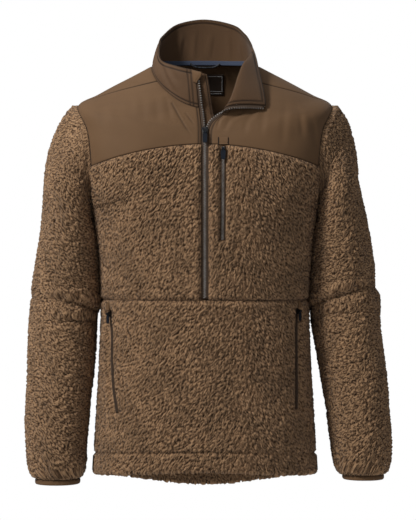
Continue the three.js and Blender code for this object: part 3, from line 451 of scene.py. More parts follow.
def resampled(at, length, values):
    return np.stack([np.interp(at, length, values[:, k]) for k in range(values.shape[1])], axis=-1)


def front_line(places, step=LINE_STEP):
    """Points and outward directions along a line on the front, given as seen from the front."""
    places = np.asarray(places, float)
    length = lengths_along(places, 0)
    spots = resampled(between(0, length[-1], step), length, places)
    point, _, _, out = front_frame(spots[:, 0], spots[:, 1])
    return point, out


def body_line(run):
    """Points and outward directions along a run of turns and rows."""
    turn, row = (np.asarray(values, float) for values in run)
    length = lengths_along(body_point(turn, row), 0)
    at = between(0, length[-1], LINE_STEP)
    point, _, _, out = body_frame(np.interp(at, length, turn), np.interp(at, length, row))
    return point, out


ACROSS = np.array([1.0, 0.0, 0.0])


def raised(line, lift):
    point, out = line
    return lifted(point, out, lift), out


def spaced(line, pitch, start=0.5):
    """Frames standing at even distances along a line: point, ahead, aside and out."""
    point, out = line
    length = lengths_along(point, 0)
    at = np.arange(pitch * start, length[-1], pitch)
    normal = unit(resampled(at, length, out))
    ahead = resampled(at, length, unit(np.gradient(point, axis=0)))
    aside = unit(np.cross(normal, ahead))
    return resampled(at, length, point), np.cross(aside, normal), aside, normal


def turned(frames, angle):
    """Frames turned about their outward direction, each by its own angle in degrees."""
    point, ahead, aside, out = frames
    cosine, sine = np.cos(np.radians(angle))[:, None], np.sin(np.radians(angle))[:, None]
    return point, ahead * cosine + aside * sine, aside * cosine - ahead * sine, out


def shifted(frames, aside_by):
    point, ahead, aside, out = frames
    return point + aside * np.reshape(aside_by, (-1, 1)), ahead, aside, out


def copies(bm, count):
    """Repeats what the mesh holds until there are so many of it, in blocks of the same order."""
    size = len(bm.verts)
    made = 1
    while made < count:
        more = min(made, count - made)
        verts = list(bm.verts)[:more * size]
        chosen = set(verts)
        edges = [edge for edge in bm.edges if chosen.issuperset(edge.verts)]
        faces = [face for face in bm.faces if chosen.issuperset(face.verts)]
        bmesh.ops.duplicate(bm, geom=verts + edges + faces)
        made += more


def settled(bm):
    """The same mesh built afresh, so that its vertices stand in one unbroken order."""
    mesh = bpy.data.meshes.new("settled")
    bm.to_mesh(mesh)
    bm.free()
    fresh = bmesh.new()
    fresh.from_mesh(mesh)
    bpy.data.meshes.remove(mesh)
    return fresh


def repeated(name, bm, frames, material):
    """Copies of one small shape, modelled ahead, aside and out, each standing on its own frame."""
    point, ahead, aside, out = (np.concatenate(part) for part in zip(*frames))
    bm = settled(bm)
    shape = np.array([vertex.co for vertex in bm.verts])
    copies(bm, len(point))
    piece = finished(name, bm, material)
    spots = point[:, None] + np.einsum("vk,nkc->nvc", shape, np.stack([ahead, aside, out], axis=1))
    piece.data.vertices.foreach_set("co", (spots * MM).astype(np.float32).ravel())
    piece.data.update()
    return piece


STITCH = {"pitch": 3.0, "half": (1.2, 0.42, 0.3), "lift": 0.1}


def bead(half):
    """A small round shape, given its half sizes ahead, aside and out."""
    bm = bmesh.new()
    bmesh.ops.create_icosphere(bm, subdivisions=1, radius=1.0)
    bmesh.ops.scale(bm, verts=bm.verts, vec=half)
    return bm


def sewn(name, lines, thread):
    """Sewing along several lines, one small lens of thread for each stitch."""
    frames = [spaced(raised(line, STITCH["lift"]), STITCH["pitch"]) for line in lines]
    return repeated(name, bead(STITCH["half"]), frames, thread)


def band(solid, line, across, low, high, material):
    """A band of cloth along a line that runs up, its columns at distances towards the wearer's left."""
    point, out = line
    sideways = unit(np.cross(unit(np.gradient(point, axis=0)), out))
    base = point[:, None] + sideways[:, None] * across[None, :, None]
    outer, inner = (lifted(base, out[:, None], np.broadcast_to(lift, base.shape[:2])) for lift in (high, low))
    places = np.stack(np.broadcast_arrays(across[None, :], lengths_along(point, 0)[:, None]), axis=-1)
    piece = cloth_wall(solid, "cloth", outer, inner, places, material)
    return piece, point[:, None] + ACROSS * across[None, :, None]


def cut(piece, points, around=False):
    """Closes a tube's points round, and does nothing more with them or with the piece."""
    if around:
        points = np.concatenate([points, points[:, :1]], axis=1)


def from_line(spots, line):
    """How far each place is to the left of a line of places, and how far along it from 0 to 1."""
    nearest = np.full(spots.shape[:-1], np.inf)
    signed = np.zeros_like(nearest)
    share = np.zeros_like(nearest)
    lengths = np.linalg.norm(np.diff(line, axis=0), axis=1)
    before = 0.0
    for start, end, length in zip(line[:-1], line[1:], lengths):
        ahead = (end - start) / length
        offset = spots - start
        along = np.clip(offset @ ahead, 0, length)
        distance = np.linalg.norm(offset - along[..., None] * ahead, axis=-1)
        left = np.where(offset[..., 1] * ahead[0] > offset[..., 0] * ahead[1], 1.0, -1.0)
        closer = distance < nearest
        nearest = np.where(closer, distance, nearest)
        signed = np.where(closer, distance * left, signed)
        share = np.where(closer, (before + along) / lengths.sum(), share)
        before += length
    return signed, share


# How a crease grows and fades along its line, where its ridge stands beside its trough, in widths of the
# crease, and over which depths of the body the creases of the front and of the back fade.
CREASE = {"grown": 0.3, "fading": 0.55, "ridge_at": 1.7, "ridge_width": 1.2}
CREASE_FADE = {"behind": (0.0, 26.0), "front": (-22.0, 6.0)}


def creases(*rows):
    """Creases, a row each: line as seen from the front, width, depth, ridge's height, first strength."""
    return [dict(zip(("line", "width", "depth", "ridge", "start"), row)) for row in rows]


def creased(points, folds, behind=False):
    """How far creases move the cloth out: each is a trough with a ridge on its left."""
    lift = np.zeros(points.shape[:-1])
    for fold in folds:
        aside, share = from_line(points[..., [0, 2]], np.array(fold["line"], float))
        fading = 1 - smooth(share, CREASE["fading"], 1.0)
        strength = mix(fold["start"], 1.0, smooth(share, 0, CREASE["grown"])) * fading
        width = fold["width"]
        trough = -fold["depth"] * bell(aside / width)
        ridge = fold["ridge"] * bell((aside - CREASE["ridge_at"] * width) / (CREASE["ridge_width"] * width))
        lift += strength * (trough + ridge)
    depth = points[..., 1]
    if behind:
        return lift * smooth(depth, *CREASE_FADE["behind"])
    return lift * smooth(-depth, *CREASE_FADE["front"])


# Pile

LOCK_TABLE_SIZE = 256
LOCK_TABLE = np.random.default_rng(20).random((LOCK_TABLE_SIZE, LOCK_TABLE_SIZE, 6))
LOCK = {"cell": 3.1, "length": 4.9, "width": 1.7, "turn": 32.0, "bend": 0.14, "smallest": 0.75, "lowest": 0.3}
PILE_SHIFT = (37.0, 53.0)
WAVE_SHIFT = (3.7, -2.3)


def drawn(u, v):
    """The random values of a cell of the table, which repeats for ever."""
    return LOCK_TABLE[u % LOCK_TABLE_SIZE, v % LOCK_TABLE_SIZE]


def curls(places, nap, seed):
    """Height, from 0 to 1, of a pile of curly locks that lie about the nap's angle in degrees."""
    u, v = places[..., 0] + seed * PILE_SHIFT[0], places[..., 1] + seed * PILE_SHIFT[1]
    cell_u = np.floor(u / LOCK["cell"]).astype(int)
    cell_v = np.floor(v / LOCK["cell"]).astype(int)
    height = np.zeros(u.shape)
    for step_u in range(-2, 3):
        for step_v in range(-2, 3):
            cu, cv = cell_u + step_u, cell_v + step_v
            lock = drawn(cu, cv)
            angle = np.radians(nap + (lock[..., 2] - 0.5) * LOCK["turn"])
            du = u - (cu + lock[..., 0]) * LOCK["cell"]
            dv = v - (cv + lock[..., 1]) * LOCK["cell"]
            along = du * np.cos(angle) + dv * np.sin(angle)
            aside = dv * np.cos(angle) - du * np.sin(angle)
            aside = aside + (lock[..., 3] - 0.5) * LOCK["bend"] * along * along
            size = LOCK["smallest"] + 0.5 * lock[..., 4]
            reach = (along / (LOCK["length"] * size)) ** 2 + (aside / (LOCK["width"] * size)) ** 2
            dome = mix(LOCK["lowest"], 1.0, lock[..., 5]) * np.sqrt(np.clip(1 - reach, 0, None))
            height = np.maximum(height, dome)
    return height


def soft_noise(places, size, seed):
    """Slow waves from -1 to 1 over a surface, about a size across."""
    u, v = (places[..., k] / size + seed * WAVE_SHIFT[k] for k in range(2))
    iu, iv = np.floor(u).astype(int), np.floor(v).astype(int)
    fu, fv = smooth(u - iu, 0, 1), smooth(v - iv, 0, 1)
    low, high = (mix(drawn(iu, row)[..., 0], drawn(iu + 1, row)[..., 0], fu) for row in (iv, iv + 1))
    return mix(low, high, fv) * 2 - 1


def places_on(points):
    """Each point's distance along its row from the middle column and up its column, in millimetres."""
    along = lengths_along(points, 1)
    along = along - along[:, [points.shape[1] // 2]]
    return np.stack([along, lengths_along(points, 0)], axis=-1)


def drawn_in(points, out):
    """Pulls a piece's edges back from its neighbours, square to each edge, by the seam's share."""
    up = unit(np.gradient(points, axis=0))
    along = unit(np.gradient(points, axis=1))
    sideways = unit(np.cross(up, out))
    upwards = unit(np.cross(out, along))
    moved = points.copy()
    moved[:, 0] += sideways[:, 0] * SEAM_SHARE
    moved[:, -1] -= sideways[:, -1] * SEAM_SHARE
    moved[0] += upwards[0] * SEAM_SHARE
    moved[-1] -= upwards[-1] * SEAM_SHARE
    return moved


# Sherpa pieces of the body

# The hem's turned-up band ends and bends at two rows of the table. Inside, its ground and its curls are
# lower, and its sewing pinches the pile.
HEM = {"top": 0.93, "lowest": 0.07, "stitch": 1.0, "band": 33.0, "bend": 8, "lift": -1.0}
HEM_PILE = {"ground": 0.35, "curl": 0.7, "pinch": 0.75, "pinch_half": 1.7}
GROUND = {"seam": 1.5, "full": 2.6}
CURL = {"seam": 1.6, "full": 6.2}
PILE_GROWS = (-1.0, 7.0)
PILE_LEAN = 0.22
HIDDEN_PILE = 0.45
# Near seams the value that the pile's material reads falls to this share, which paints shade there.
SEAM_PILE_SHADE = 0.6
BODY_NAP = {"right": 56.0, "left": 118.0}
SWEEP = (-20.0, 150.0)
HAND_POCKETS = {
    "right": {"x": [-163.7, -160.3, -160.3, -156.9, -150], "z": [-419, -462, -505, -553.5, -593],
              "garage_top": -404.0},
    "left": {"x": [159, 157.6, 157.6, 157.6, 157], "z": [-414, -455, -500, -545, -587],
             "garage_top": -401.8},
}
CHEST_POCKET = {"x": [31.4, 31, 30.6, 30], "z": [-137.5, -190, -245, -297]}
HAND_SLOT = 6.5
CHEST_SLOT = 8.0

# The pile is low beside a pocket's slit and under its garage.
SLOT = {"extra": 1.6, "slope": (-0.2, 4.2), "floor": 0.2}
GARAGE_SPOT = {"width": 9.0, "floor": 5.8}


def cells(length, step):
    """How many cells a length gets, a number that the coarser inner grid divides evenly."""
    return max(int(math.ceil(length / step / INNER_EVERY)) * INNER_EVERY, INNER_EVERY)


def body_nap(points):
    return mix(BODY_NAP["right"], BODY_NAP["left"], smooth(points[..., 0], *SWEEP))


def from_slot(points, pocket, width):
    """Distance of each point on the front from a pocket slit's edge, nought or less inside it."""
    x, z = points[..., 0], points[..., 2]
    xs, zs = np.array(pocket["x"], float), np.array(pocket["z"], float)
    line = np.interp(z, zs[::-1], xs[::-1])
    aside = np.abs(x - line) - width / 2
    past = np.maximum(z - zs[0], zs[-1] - z)
    return np.where(past > 0, np.hypot(np.maximum(aside, 0), past), np.maximum(aside, past))


# Edges are runs of turns and rows, spaced evenly in millimetres.

DENSE = 400
RISE_SHARE = 0.72


def edge_lengths(turn, row):
    """Lengths along an edge in which its rise counts for more than its run, so that rows don't crowd."""
    points = body_point(turn, row)
    length = lengths_along(points, 0)
    risen = np.concatenate([[0.0], np.cumsum(np.abs(np.diff(points[:, 2])))])
    return mix(length, risen, RISE_SHARE)


def edge_of(runs):
    """Turns, rows and lengths along runs that follow one another."""
    turn, row = (joined(*part) for part in zip(*runs))
    return turn, row, edge_lengths(turn, row)


def even_edge(runs, count):
    """Turns and rows along the runs at even distances."""
    turn, row, length = edge_of(runs)
    at = steps_between(0, length[-1], count)
    return np.interp(at, length, turn), np.interp(at, length, row)


def edge_cells(runs, step):
    return cells(edge_of(runs)[2][-1], step)


def side_run(first, last):
    return np.full(DENSE + 1, 90.0), steps_between(first, last, DENSE)


def armhole_run(first, last):
    return armhole_spot(steps_between(first, last, DENSE))


def shoulder_run():
    row = steps_between(ARMHOLE["high"], NECK_ROW, DENSE)
    share = (row - ARMHOLE["high"]) / (NECK_ROW - ARMHOLE["high"])
    return mix(SHOULDER_TURN["armhole"], SHOULDER_TURN["neck"], share), row


def behind(run):
    return 360 - run[0], run[1]


def even_shares(edge, far_turn, low, high, step):
    """Shares across a piece that lie evenly along its middle row."""
    edge_turn, edge_row = edge
    middle = len(edge_turn) // 2
    dense = steps_between(0, 1, DENSE)
    level = (edge_row - low(edge_turn)) / (high(edge_turn) - low(edge_turn))
    far = far_turn(level, edge_turn)[middle]
    turn = mix(far, edge_turn[middle], dense)
    length = lengths_along(body_point(turn, mix(low(turn), high(turn), level[middle])), 0)
    return np.interp(steps_between(0, length[-1], cells(length[-1], step)), length, dense)


def hem_rows(count, step):
    """Rows of the turned-up band and of the bend under the hem, with the angle that the pile points at."""
    bend = HEM["bend"]
    band_cells = round(HEM["band"] / step)
    band_cells += -(band_cells + bend + count) % INNER_EVERY
    rows = [steps_between(HEM["top"], HEM["lowest"], band_cells)[:-1], np.full(bend, HEM["lowest"])]
    angles = [np.full(band_cells, math.pi), steps_between(math.pi, 0, bend)[:-1]]
    return np.concatenate(rows), np.concatenate(angles)


def laid_flat(points, up, anchor):
    """Distances from an anchor column and straight up, so that slanting columns don't shear the pile."""
    along = lengths_along(points, 1)
    climb = np.einsum("rck,rck->rc", np.diff(points, axis=0), (up[1:] + up[:-1]) / 2)
    height = np.concatenate([np.zeros_like(climb[:1]), np.cumsum(climb, axis=0)])
    return np.stack([along - along[:, [anchor]], height], axis=-1)


def pile_rise(full, curl, ground_share=1.0, curl_share=1.0):
    """How far the pile stands out, from what it has at a seam to its full ground and curls."""
    ground = mix(GROUND["seam"], GROUND["full"], full) * ground_share
    return ground + mix(CURL["seam"], CURL["full"], full) * curl_share * curl


def body_sherpa(solid, runs, far_turn, low, high, material, seed, step, mirror=False, slots=()):
    """A pile piece of the body. A hemmed one starts inside, at the top of its turned-up band."""
    hem = low is BODY_FOOT
    count = edge_cells(runs(HEM["lowest"]), step)
    edge_turn, edge_row = even_edge(runs(HEM["lowest"]), count)
    shares = even_shares((edge_turn, edge_row), far_turn, low, high, step)
    angle = np.zeros(count + 1)
    if hem:
        rows, angles = hem_rows(count, step)
        edge_turn = np.concatenate([np.full(len(rows), edge_turn[0]), edge_turn])
        edge_row = np.concatenate([rows, edge_row])
        angle = np.concatenate([angles, angle])
    inner_edge = even_edge(runs(HEM["top"]), (len(edge_row) - 1) // INNER_EVERY)
    points, turn, row = panel_points(shares, edge_turn, edge_row, far_turn, low, high)
    inner = panel_points(shares[::INNER_EVERY], *inner_edge, far_turn, low, high)[0]
    _, _, up, out = body_frame(turn, row)
    anchor = len(shares) // 2 if far_turn in (whole_front, whole_back) else 0
    if mirror:
        anchor = -1
        points, inner, up, out = (mirrored(grid) for grid in (points, inner, up, out))
    full = smooth(edge_distance(points, foot=not hem), *PILE_GROWS)
    if hem:
        points[:, 0] += unit(points[:, 1] - points[:, 0]) * SEAM_SHARE
        points[:, -1] += unit(points[:, -2] - points[:, -1]) * SEAM_SHARE
        points[-1] += unit(points[-2] - points[-1]) * SEAM_SHARE
    else:
        points = drawn_in(points, out)
    angle = np.broadcast_to(angle[:, None], row.shape)
    outside = (angle == 0) * 1.0
    inside = angle / math.pi
    from_stitch = (row - HEM["stitch"]) * HEM["band"]
    full = full * (1 - HEM_PILE["pinch"] * outside * bell(from_stitch / HEM_PILE["pinch_half"]))
    places = laid_flat(points, up, anchor)
    curl = curls(places, body_nap(points), seed)
    rise = pile_rise(full, curl, mix(1.0, HEM_PILE["ground"], inside), mix(1.0, HEM_PILE["curl"], inside))
    for pocket, width, floor in slots:
        clear = np.maximum(smooth(from_slot(points, pocket, width), *SLOT["slope"]), inside)
        rise = mix(np.minimum(floor, rise), rise, clear)
    direction = out * np.cos(angle)[..., None] - up * np.sin(angle)[..., None]
    outer = lifted(lifted(points, direction, rise), out, HEM["lift"] * inside)
    outer = lifted(outer, -up, PILE_LEAN * CURL["full"] * curl * full * outside)
    piece = cloth_wall(solid, "pile", outer, inner, places, material)
    # Low pile at seams and at the hem's sewing gets painted shade as well.
    set_pile_shade(piece, curl * mix(SEAM_PILE_SHADE, 1.0, full), inner)
    sweep = [smooth(grid[..., 0], *SWEEP).ravel() for grid in (points, inner)]
    set_values(piece, "sweep", np.concatenate(sweep))
    cut(piece, points)


def set_pile_shade(piece, height, inner):
    # The material paints shade where this value is low and light where it is high; the hidden side gets one
    # fixed value.
    hidden = np.full(inner.shape[0] * inner.shape[1], HIDDEN_PILE)
    set_values(piece, "pile", np.concatenate([height.ravel(), hidden]))


BODY_FOOT = constant(0)
WAIST = constant(WAIST_ROW)


def whole_front(level, _):
    return np.full(level.shape, -90.0)


def whole_back(_, edge_turn):
    return 360 - edge_turn


def far_zip(low, high):
    """The turn of a front piece's edge beside the zip, at each level."""
    def turns(level, _):
        return turn_at(ZIP_GAP, mix(low(np.zeros(1)), high(np.zeros(1)), level))
    return turns


def slit(pocket, width):
    return pocket, width + SLOT["extra"], SLOT["floor"]


def under_garage(pocket):
    """The spot over a hand pocket that its zip's garage covers."""
    spot = {"x": [pocket["x"][0], pocket["x"][0]], "z": [pocket["garage_top"], pocket["z"][0]]}
    return spot, GARAGE_SPOT["width"], GARAGE_SPOT["floor"]


def make_body_sherpa(pile):
    hand_slots = []
    for pocket in HAND_POCKETS.values():
        hand_slots += [slit(pocket, HAND_SLOT), under_garage(pocket)]

    def lower_runs(first):
        return [side_run(first, WAIST_ROW)]
    body_sherpa("front_lower", lower_runs, whole_front, BODY_FOOT, WAIST, pile, 1, PILE_STEP,
                slots=hand_slots)

    def upper_runs(_):
        return [side_run(WAIST_ROW, ARMHOLE["low"]), armhole_run(180, ARMHOLE_CORNERS[1])]
    upper = dict(runs=upper_runs, far_turn=far_zip(WAIST, front_seam_row), low=WAIST, high=front_seam_row,
                 material=pile, step=PILE_STEP)
    body_sherpa("front_upper_right", seed=2, mirror=True, **upper)
    body_sherpa("front_upper_left", seed=3, slots=[slit(CHEST_POCKET, CHEST_SLOT)], **upper)

    def back_runs(first):
        return [behind(side_run(first, ARMHOLE["low"])), behind(armhole_run(180, ARMHOLE_CORNERS[3]))]
    body_sherpa("back_body", back_runs, whole_back, BODY_FOOT, back_seam_row, pile, 4, BACK_STEP)


# Sleeves

SLEEVE_FOLDS = {
    "right": {
        "angle": [130, 130, 120, 120, 15, 250],
        "spread": [55, 55, 60, 40, 40, 55],
        "drop": [412, 396, 424, 436, 397, 420],
        "lean": [0.25, 0.25, 0.1, 0, 0, -0.2],
        "width": [7, 9, 8, 6, 6, 8],
        "lift": [-7, 4, 3, -4, -2.5, -5],
    },
    "left": {
        "angle": [115, 115, 110, 250, 10],
        "spread": [60, 60, 50, 55, 40],
        "drop": [397, 383, 424, 412, 380],
        "lean": [0.31, 0.31, 0.1, -0.25, 0],
        "width": [7, 8, 8, 8, 6],
        "lift": [-7, 4, -3, -5, -2.5],
    },
}
CAP_FOLDS = {
    "right": {"angle": 80, "spread": 45, "place": 0.45, "width": 0.16, "lift": -2},
    "left": {"angle": 85, "spread": 50, "place": 0.45, "width": 0.16, "lift": -6},
}
CAP_LEAD = 1.3
CAP_REACH = {"front": 50.0, "top": 80.0, "under": 0.0}
ARM_REACH = {"front": 75.0, "top": 15.0, "under": -15.0}
CAP_BULGE = 1.5
SLEEVE_NAP = {"right": 54.0, "left": 60.0}
SLEEVE_LENGTHS = {"girth": 340.0, "head": 110.0}
SLEEVE_GROWS = {"from": -1.0, "head": 8.0, "underarm": 40.0, "cuff": 9.0}
# A ridge of pile just below the armhole seam, lifted and with painted light along it, except under the arm.
SLEEVE_RIDGE = {"lift": 1.3, "place": 5.0, "half": 3.6, "shade": 0.35}
SLEEVE_SHADE = (0.25, 0.95)
HEAD_TURNS_OUT = 12.0
QUARTER = 90.0


def sleeve_ring(arm, drop, angle):
    outer, inner, back, deep, rise = (read(arm["drop"], arm[column], drop)
                                      for column in ("outer", "inner", "back", "deep", "rise"))
    across = rounded(np.cos(np.radians(angle)), ARMHOLE["power"])
    ahead = rounded(np.sin(np.radians(angle)), ARMHOLE["power"])
    middle, half = (outer + inner) / 2, (outer - inner) / 2
    return stack(middle + half * across, back - deep * ahead, rise * np.cos(np.radians(angle)) - drop)


def armhole_angle(ring_angle):
    """The armhole's own angle for a place round the sleeve: each quarter runs between two corners."""
    return np.interp(np.mod(ring_angle, 360), np.arange(5) * QUARTER, ARMHOLE_CORNERS)


def cap_point(arm, place, ring_angle):
    """The sleeve head leaves the armhole in line with the body and bends down into the arm."""
    angle = armhole_angle(ring_angle)
    start = body_point(*armhole_spot(angle))
    away = unit(start - body_point(*armhole_spot(angle, CAP_LEAD)))
    start = start + away * SEAM_SHARE
    end = sleeve_ring(arm, np.full(np.shape(ring_angle), float(arm["drop"][0])), ring_angle)
    upward = np.cos(np.radians(angle))
    top, under = (np.maximum(side, 0) ** CAP_BULGE for side in (upward, -upward))
    leave, arrive = (reach["front"] + reach["top"] * top + reach["under"] * under
                     for reach in (CAP_REACH, ARM_REACH))
    t = place
    point = start * (2 * t ** 3 - 3 * t ** 2 + 1)[..., None]
    point = lifted(point, away, leave * (t ** 3 - 2 * t ** 2 + t))
    point = lifted(point, end, 3 * t ** 2 - 2 * t ** 3)
    point[..., 2] -= arrive * (t ** 3 - t ** 2)
    return point


def turn_past(a, b):
    """How far one angle is past another, from -180 to 180 degrees."""
    return (a - b + 540) % 360 - 180


def sleeve_grid(name, ring_angle, place, drop):
    """The smooth sleeve: rows of the head by place and then rows of the arm by drop."""
    arm = SLEEVES[name]
    head = cap_point(arm, *np.meshgrid(place, ring_angle, indexing="ij"))
    tube = sleeve_ring(arm, *np.meshgrid(drop, ring_angle, indexing="ij"))
    return np.concatenate([head, tube])


def sleeve_lift(name, ring_angle, place, drop):
    """How far the folds move the cloth out, at each place of a sleeve grid."""
    cap = CAP_FOLDS[name]
    head = (cap["lift"] * bell(turn_past(ring_angle, cap["angle"]) / cap["spread"])[None, :]
            * bell((place - cap["place"]) / cap["width"])[:, None])
    tube = np.zeros((len(drop), len(ring_angle)))
    for angle, spread_over, fold_drop, lean, width, lift in zip(*SLEEVE_FOLDS[name].values()):
        past = turn_past(ring_angle, angle)
        below = drop[:, None] - fold_drop - lean * past[None, :]
        tube += lift * bell(past / spread_over)[None, :] * bell(below / width)
    return np.concatenate([head, tube])


def folded_sleeve(name, ring_angle, place, drop):
    smooth_grid = sleeve_grid(name, ring_angle, place, drop)
    lift = sleeve_lift(name, ring_angle, place, drop)
    return smooth_grid + tube_normals(smooth_grid) * lift[..., None]


def sleeve_out(points, ring_angle):
    """The way out of a sleeve: the body's own beside the armhole, and level at the cuff."""
    out = tube_normals(points)
    body_out = body_frame(*armhole_spot(armhole_angle(ring_angle)))[3]
    own = smooth(lengths_along(points, 0), 0, HEAD_TURNS_OUT)
    out = unit(mix(body_out[None, :, :], out, own[..., None]))
    out[-1, :, 2] = 0
    return unit(out)


def make_sleeve(name, pile, seed):
    arm = SLEEVES[name]
    girth, head_count = (cells(SLEEVE_LENGTHS[part], PILE_STEP) for part in ("girth", "head"))
    first_drop, last_drop = arm["drop"][0], arm["drop"][-1]
    ring_angle = 180 + steps_between(0, 360, girth)[:-1]
    place = steps_between(0, 1, head_count)[:-1]
    drop = steps_between(first_drop, last_drop, cells(last_drop - first_drop, PILE_STEP))
    points = folded_sleeve(name, ring_angle, place, drop)
    inner = folded_sleeve(name, *(values[::INNER_EVERY] for values in (ring_angle, place, drop)))
    height = lengths_along(points, 0)
    under = np.sqrt(np.maximum(-np.cos(np.radians(armhole_angle(ring_angle))), 0))[None, :]
    grows_by = mix(SLEEVE_GROWS["head"], SLEEVE_GROWS["underarm"], under)
    full = (smooth(height, SLEEVE_GROWS["from"], grows_by)
            * smooth(height[[-1]] - height, SLEEVE_GROWS["from"], SLEEVE_GROWS["cuff"]))
    along = lengths_along(points, 1)
    places = np.stack([along - along[:, [girth // 2]], -height], axis=-1)
    curl = curls(places, SLEEVE_NAP[name], seed)
    ridge = bell((height - SLEEVE_RIDGE["place"]) / SLEEVE_RIDGE["half"]) * (1 - under)
    rise = pile_rise(full, curl) + SLEEVE_RIDGE["lift"] * ridge
    outer = lifted(points, sleeve_out(points, ring_angle), rise)
    outer = lifted(outer, unit(np.gradient(points, axis=0)), PILE_LEAN * CURL["full"] * curl * full)
    # The value the pile's material turns into colour: painted shade near seams, painted light along the
    # ridge.
    shade = mix(*SLEEVE_SHADE, curl) * mix(SEAM_PILE_SHADE, 1.0, full) + SLEEVE_RIDGE["shade"] * ridge
    if arm["side"] < 0:
        outer, inner = mirrored(outer), mirrored(inner)
        places, shade = places[:, ::-1], shade[:, ::-1]
    solid = f"sleeve_{name}"
    piece = cloth_wall(solid, "pile", outer, inner, places, pile, around=True)
    set_pile_shade(piece, shade, inner)
    cut(piece, points, around=True)


# Smooth yoke

SHELL_STEP = 1.9

# The shell is thinner at its edges, where it is turned in, and lies calm beside them.
SHELL_CLOTH = {"edge": 1.0, "turned_in": 2.5, "calm": 9.0, "thinnest": 0.4}
SHELL_WAVES = {"lift": 0.28, "size": 40.0}
ZIP_STITCH = 4.6
GROOVE = {"depth": 0.7, "half": 1.5}
# Painted shade along edges and lines of sewing: how far it spreads and how dark it is at the edges. Creases
# narrower than the width get painted shade in their troughs.
SEAM_SHADE_BAND = {"half": 1.7, "edge_shade": 0.9}
SHARP_CREASE = {"width": 2.0, "shade": 0.6}
YOKE_FOLDS = {
    "right": creases(
        ([(-57, -62), (-44, -86), (-33, -105), (-19, -124)], 1.6, 1.3, 0.25, 0.9),
        ([(-33, -80), (-25, -91), (-16, -103)], 1.6, 0.9, 0.2, 0.6),
        ([(-129, -45), (-126, -92)], 6.0, 0.4, 0.3, 0.3),
        ([(-107, -50), (-104, -98)], 6.0, 0.45, 0.3, 0.5),
        ([(-84, -53), (-79, -106)], 6.0, 0.55, 0.4, 0.6),
        ([(-66, -56), (-56, -98)], 4.5, 0.6, 0.4, 0.8),
        ([(-178, -62), (-171, -112)], 8.0, 1.0, 0.8, 0.2),
    ),
    "left": creases(
        ([(36, -80), (25, -90), (19, -112)], 2.6, 1.0, 0.4, 0.9),
        ([(62, -79), (42, -92), (29, -118)], 4.0, 1.1, 0.5, 1.0),
        ([(83, -79), (71, -96), (66, -122)], 5.0, 0.8, 0.4, 1.0),
        ([(101, -76), (95, -124)], 5.5, 0.7, 0.4, 0.9),
        ([(139, -62), (134, -105), (131, -146)], 6.0, 0.8, 0.6, 0.3),
        ([(163, -76), (168, -128)], 5.0, 1.2, 0.9, 0.3),
        ([(185, -92), (193, -146)], 4.5, 1.2, 1.0, 0.3),
    ),
    "back": creases(
        ([(-128, -32), (-96, -92)], 6.0, 1.2, 0.9, 0.3),
        ([(-70, 8), (-60, -52)], 5.0, 1.3, 0.9, 0.6),
        ([(-12, 12), (-8, -46)], 6.0, 0.9, 0.6, 0.5),
        ([(48, 12), (42, -60)], 5.0, 1.2, 0.8, 0.6),
        ([(84, 2), (70, -58)], 4.4, 1.4, 1.0, 0.7),
        ([(150, -42), (122, -104)], 6.5, 1.3, 0.9, 0.3),
        ([(186, -78), (170, -140)], 5.5, 1.1, 0.8, 0.2),
    ),
}


def cut_grid(runs, far_turn, low, high, step):
    """Fine and coarse points of a cut piece of the body, with the way out of it."""
    count = edge_cells(runs, step)
    edge = even_edge(runs, count)
    shares = even_shares(edge, far_turn, low, high, step)
    points, turn, row = panel_points(shares, *edge, far_turn, low, high)
    inner_edge = even_edge(runs, count // INNER_EVERY)
    inner = panel_points(shares[::INNER_EVERY], *inner_edge, far_turn, low, high)[0]
    return points, inner, body_frame(turn, row)[3]


def groove(distance):
    return -GROOVE["depth"] * bell(distance / GROOVE["half"])


def painted_seam_shade(near, *sewn_at):
    """How much painted shade a cloth gets along its edges and its lines of sewing, given as distances from
    each.
    """
    seam = SEAM_SHADE_BAND["edge_shade"] * bell(near / SEAM_SHADE_BAND["half"])
    for distance in sewn_at:
        seam = np.maximum(seam, bell(distance / SEAM_SHADE_BAND["half"]))
    return seam


def shell_panel(solid, grids, folds, material, seed, zip_column=None):
    """A piece of the smooth yoke, with its folds, the groove that its zip stitching draws, and painted shade
    along its edges, its sewing and its narrow creases.
    """
    points, inner, out = grids
    points = drawn_in(points, out)
    near = edge_distance(points)
    places = places_on(points)
    waves = SHELL_WAVES["lift"] * soft_noise(places, SHELL_WAVES["size"], seed)
    lift = (creased(points, folds, zip_column is None) + waves) * smooth(near, 0, SHELL_CLOTH["calm"])
    rise = mix(SHELL_CLOTH["edge"], SHELL, smooth(near, 0, SHELL_CLOTH["turned_in"])) + lift
    # Painted shade along the piece's edges, and beside a zip along its sewing.
    seam = painted_seam_shade(near)
    if zip_column is not None:
        along = lengths_along(points, 1)
        beside = np.abs(along - along[:, [zip_column]]) - ZIP_STITCH
        rise += groove(beside)
        seam = painted_seam_shade(near, beside)
    # Narrow creases get painted shade along their troughs.
    sharp = creased(points, [fold for fold in folds if fold["width"] < SHARP_CREASE["width"]])
    seam = np.maximum(seam, np.clip(-sharp, 0, 1) * SHARP_CREASE["shade"])
    outer = lifted(points, out, np.maximum(rise, SHELL_CLOTH["thinnest"]))
    piece = cloth_wall(solid, "cloth", outer, inner, places, material)
    set_painted_shade(piece, seam)
    cut(piece, points)


OPENING_SEARCH = {"start": 3.0, "rounds": 24, "step": 0.6}


def opening_turn(opening, low, high):
    """The turn of a yoke's front edge at each level: it leaves the zip above the slider."""
    def turns(level, _):
        turn = np.full(level.shape, OPENING_SEARCH["start"])
        for _ in range(OPENING_SEARCH["rounds"]):
            row = mix(low(turn), high(turn), level)
            height = np.minimum(body_point(turn, row)[..., 2], opening["height"][-1])
            aim = turn_at(read(opening["height"], opening["x"], height), row)
            turn = mix(turn, aim, OPENING_SEARCH["step"])
        return turn
    return turns


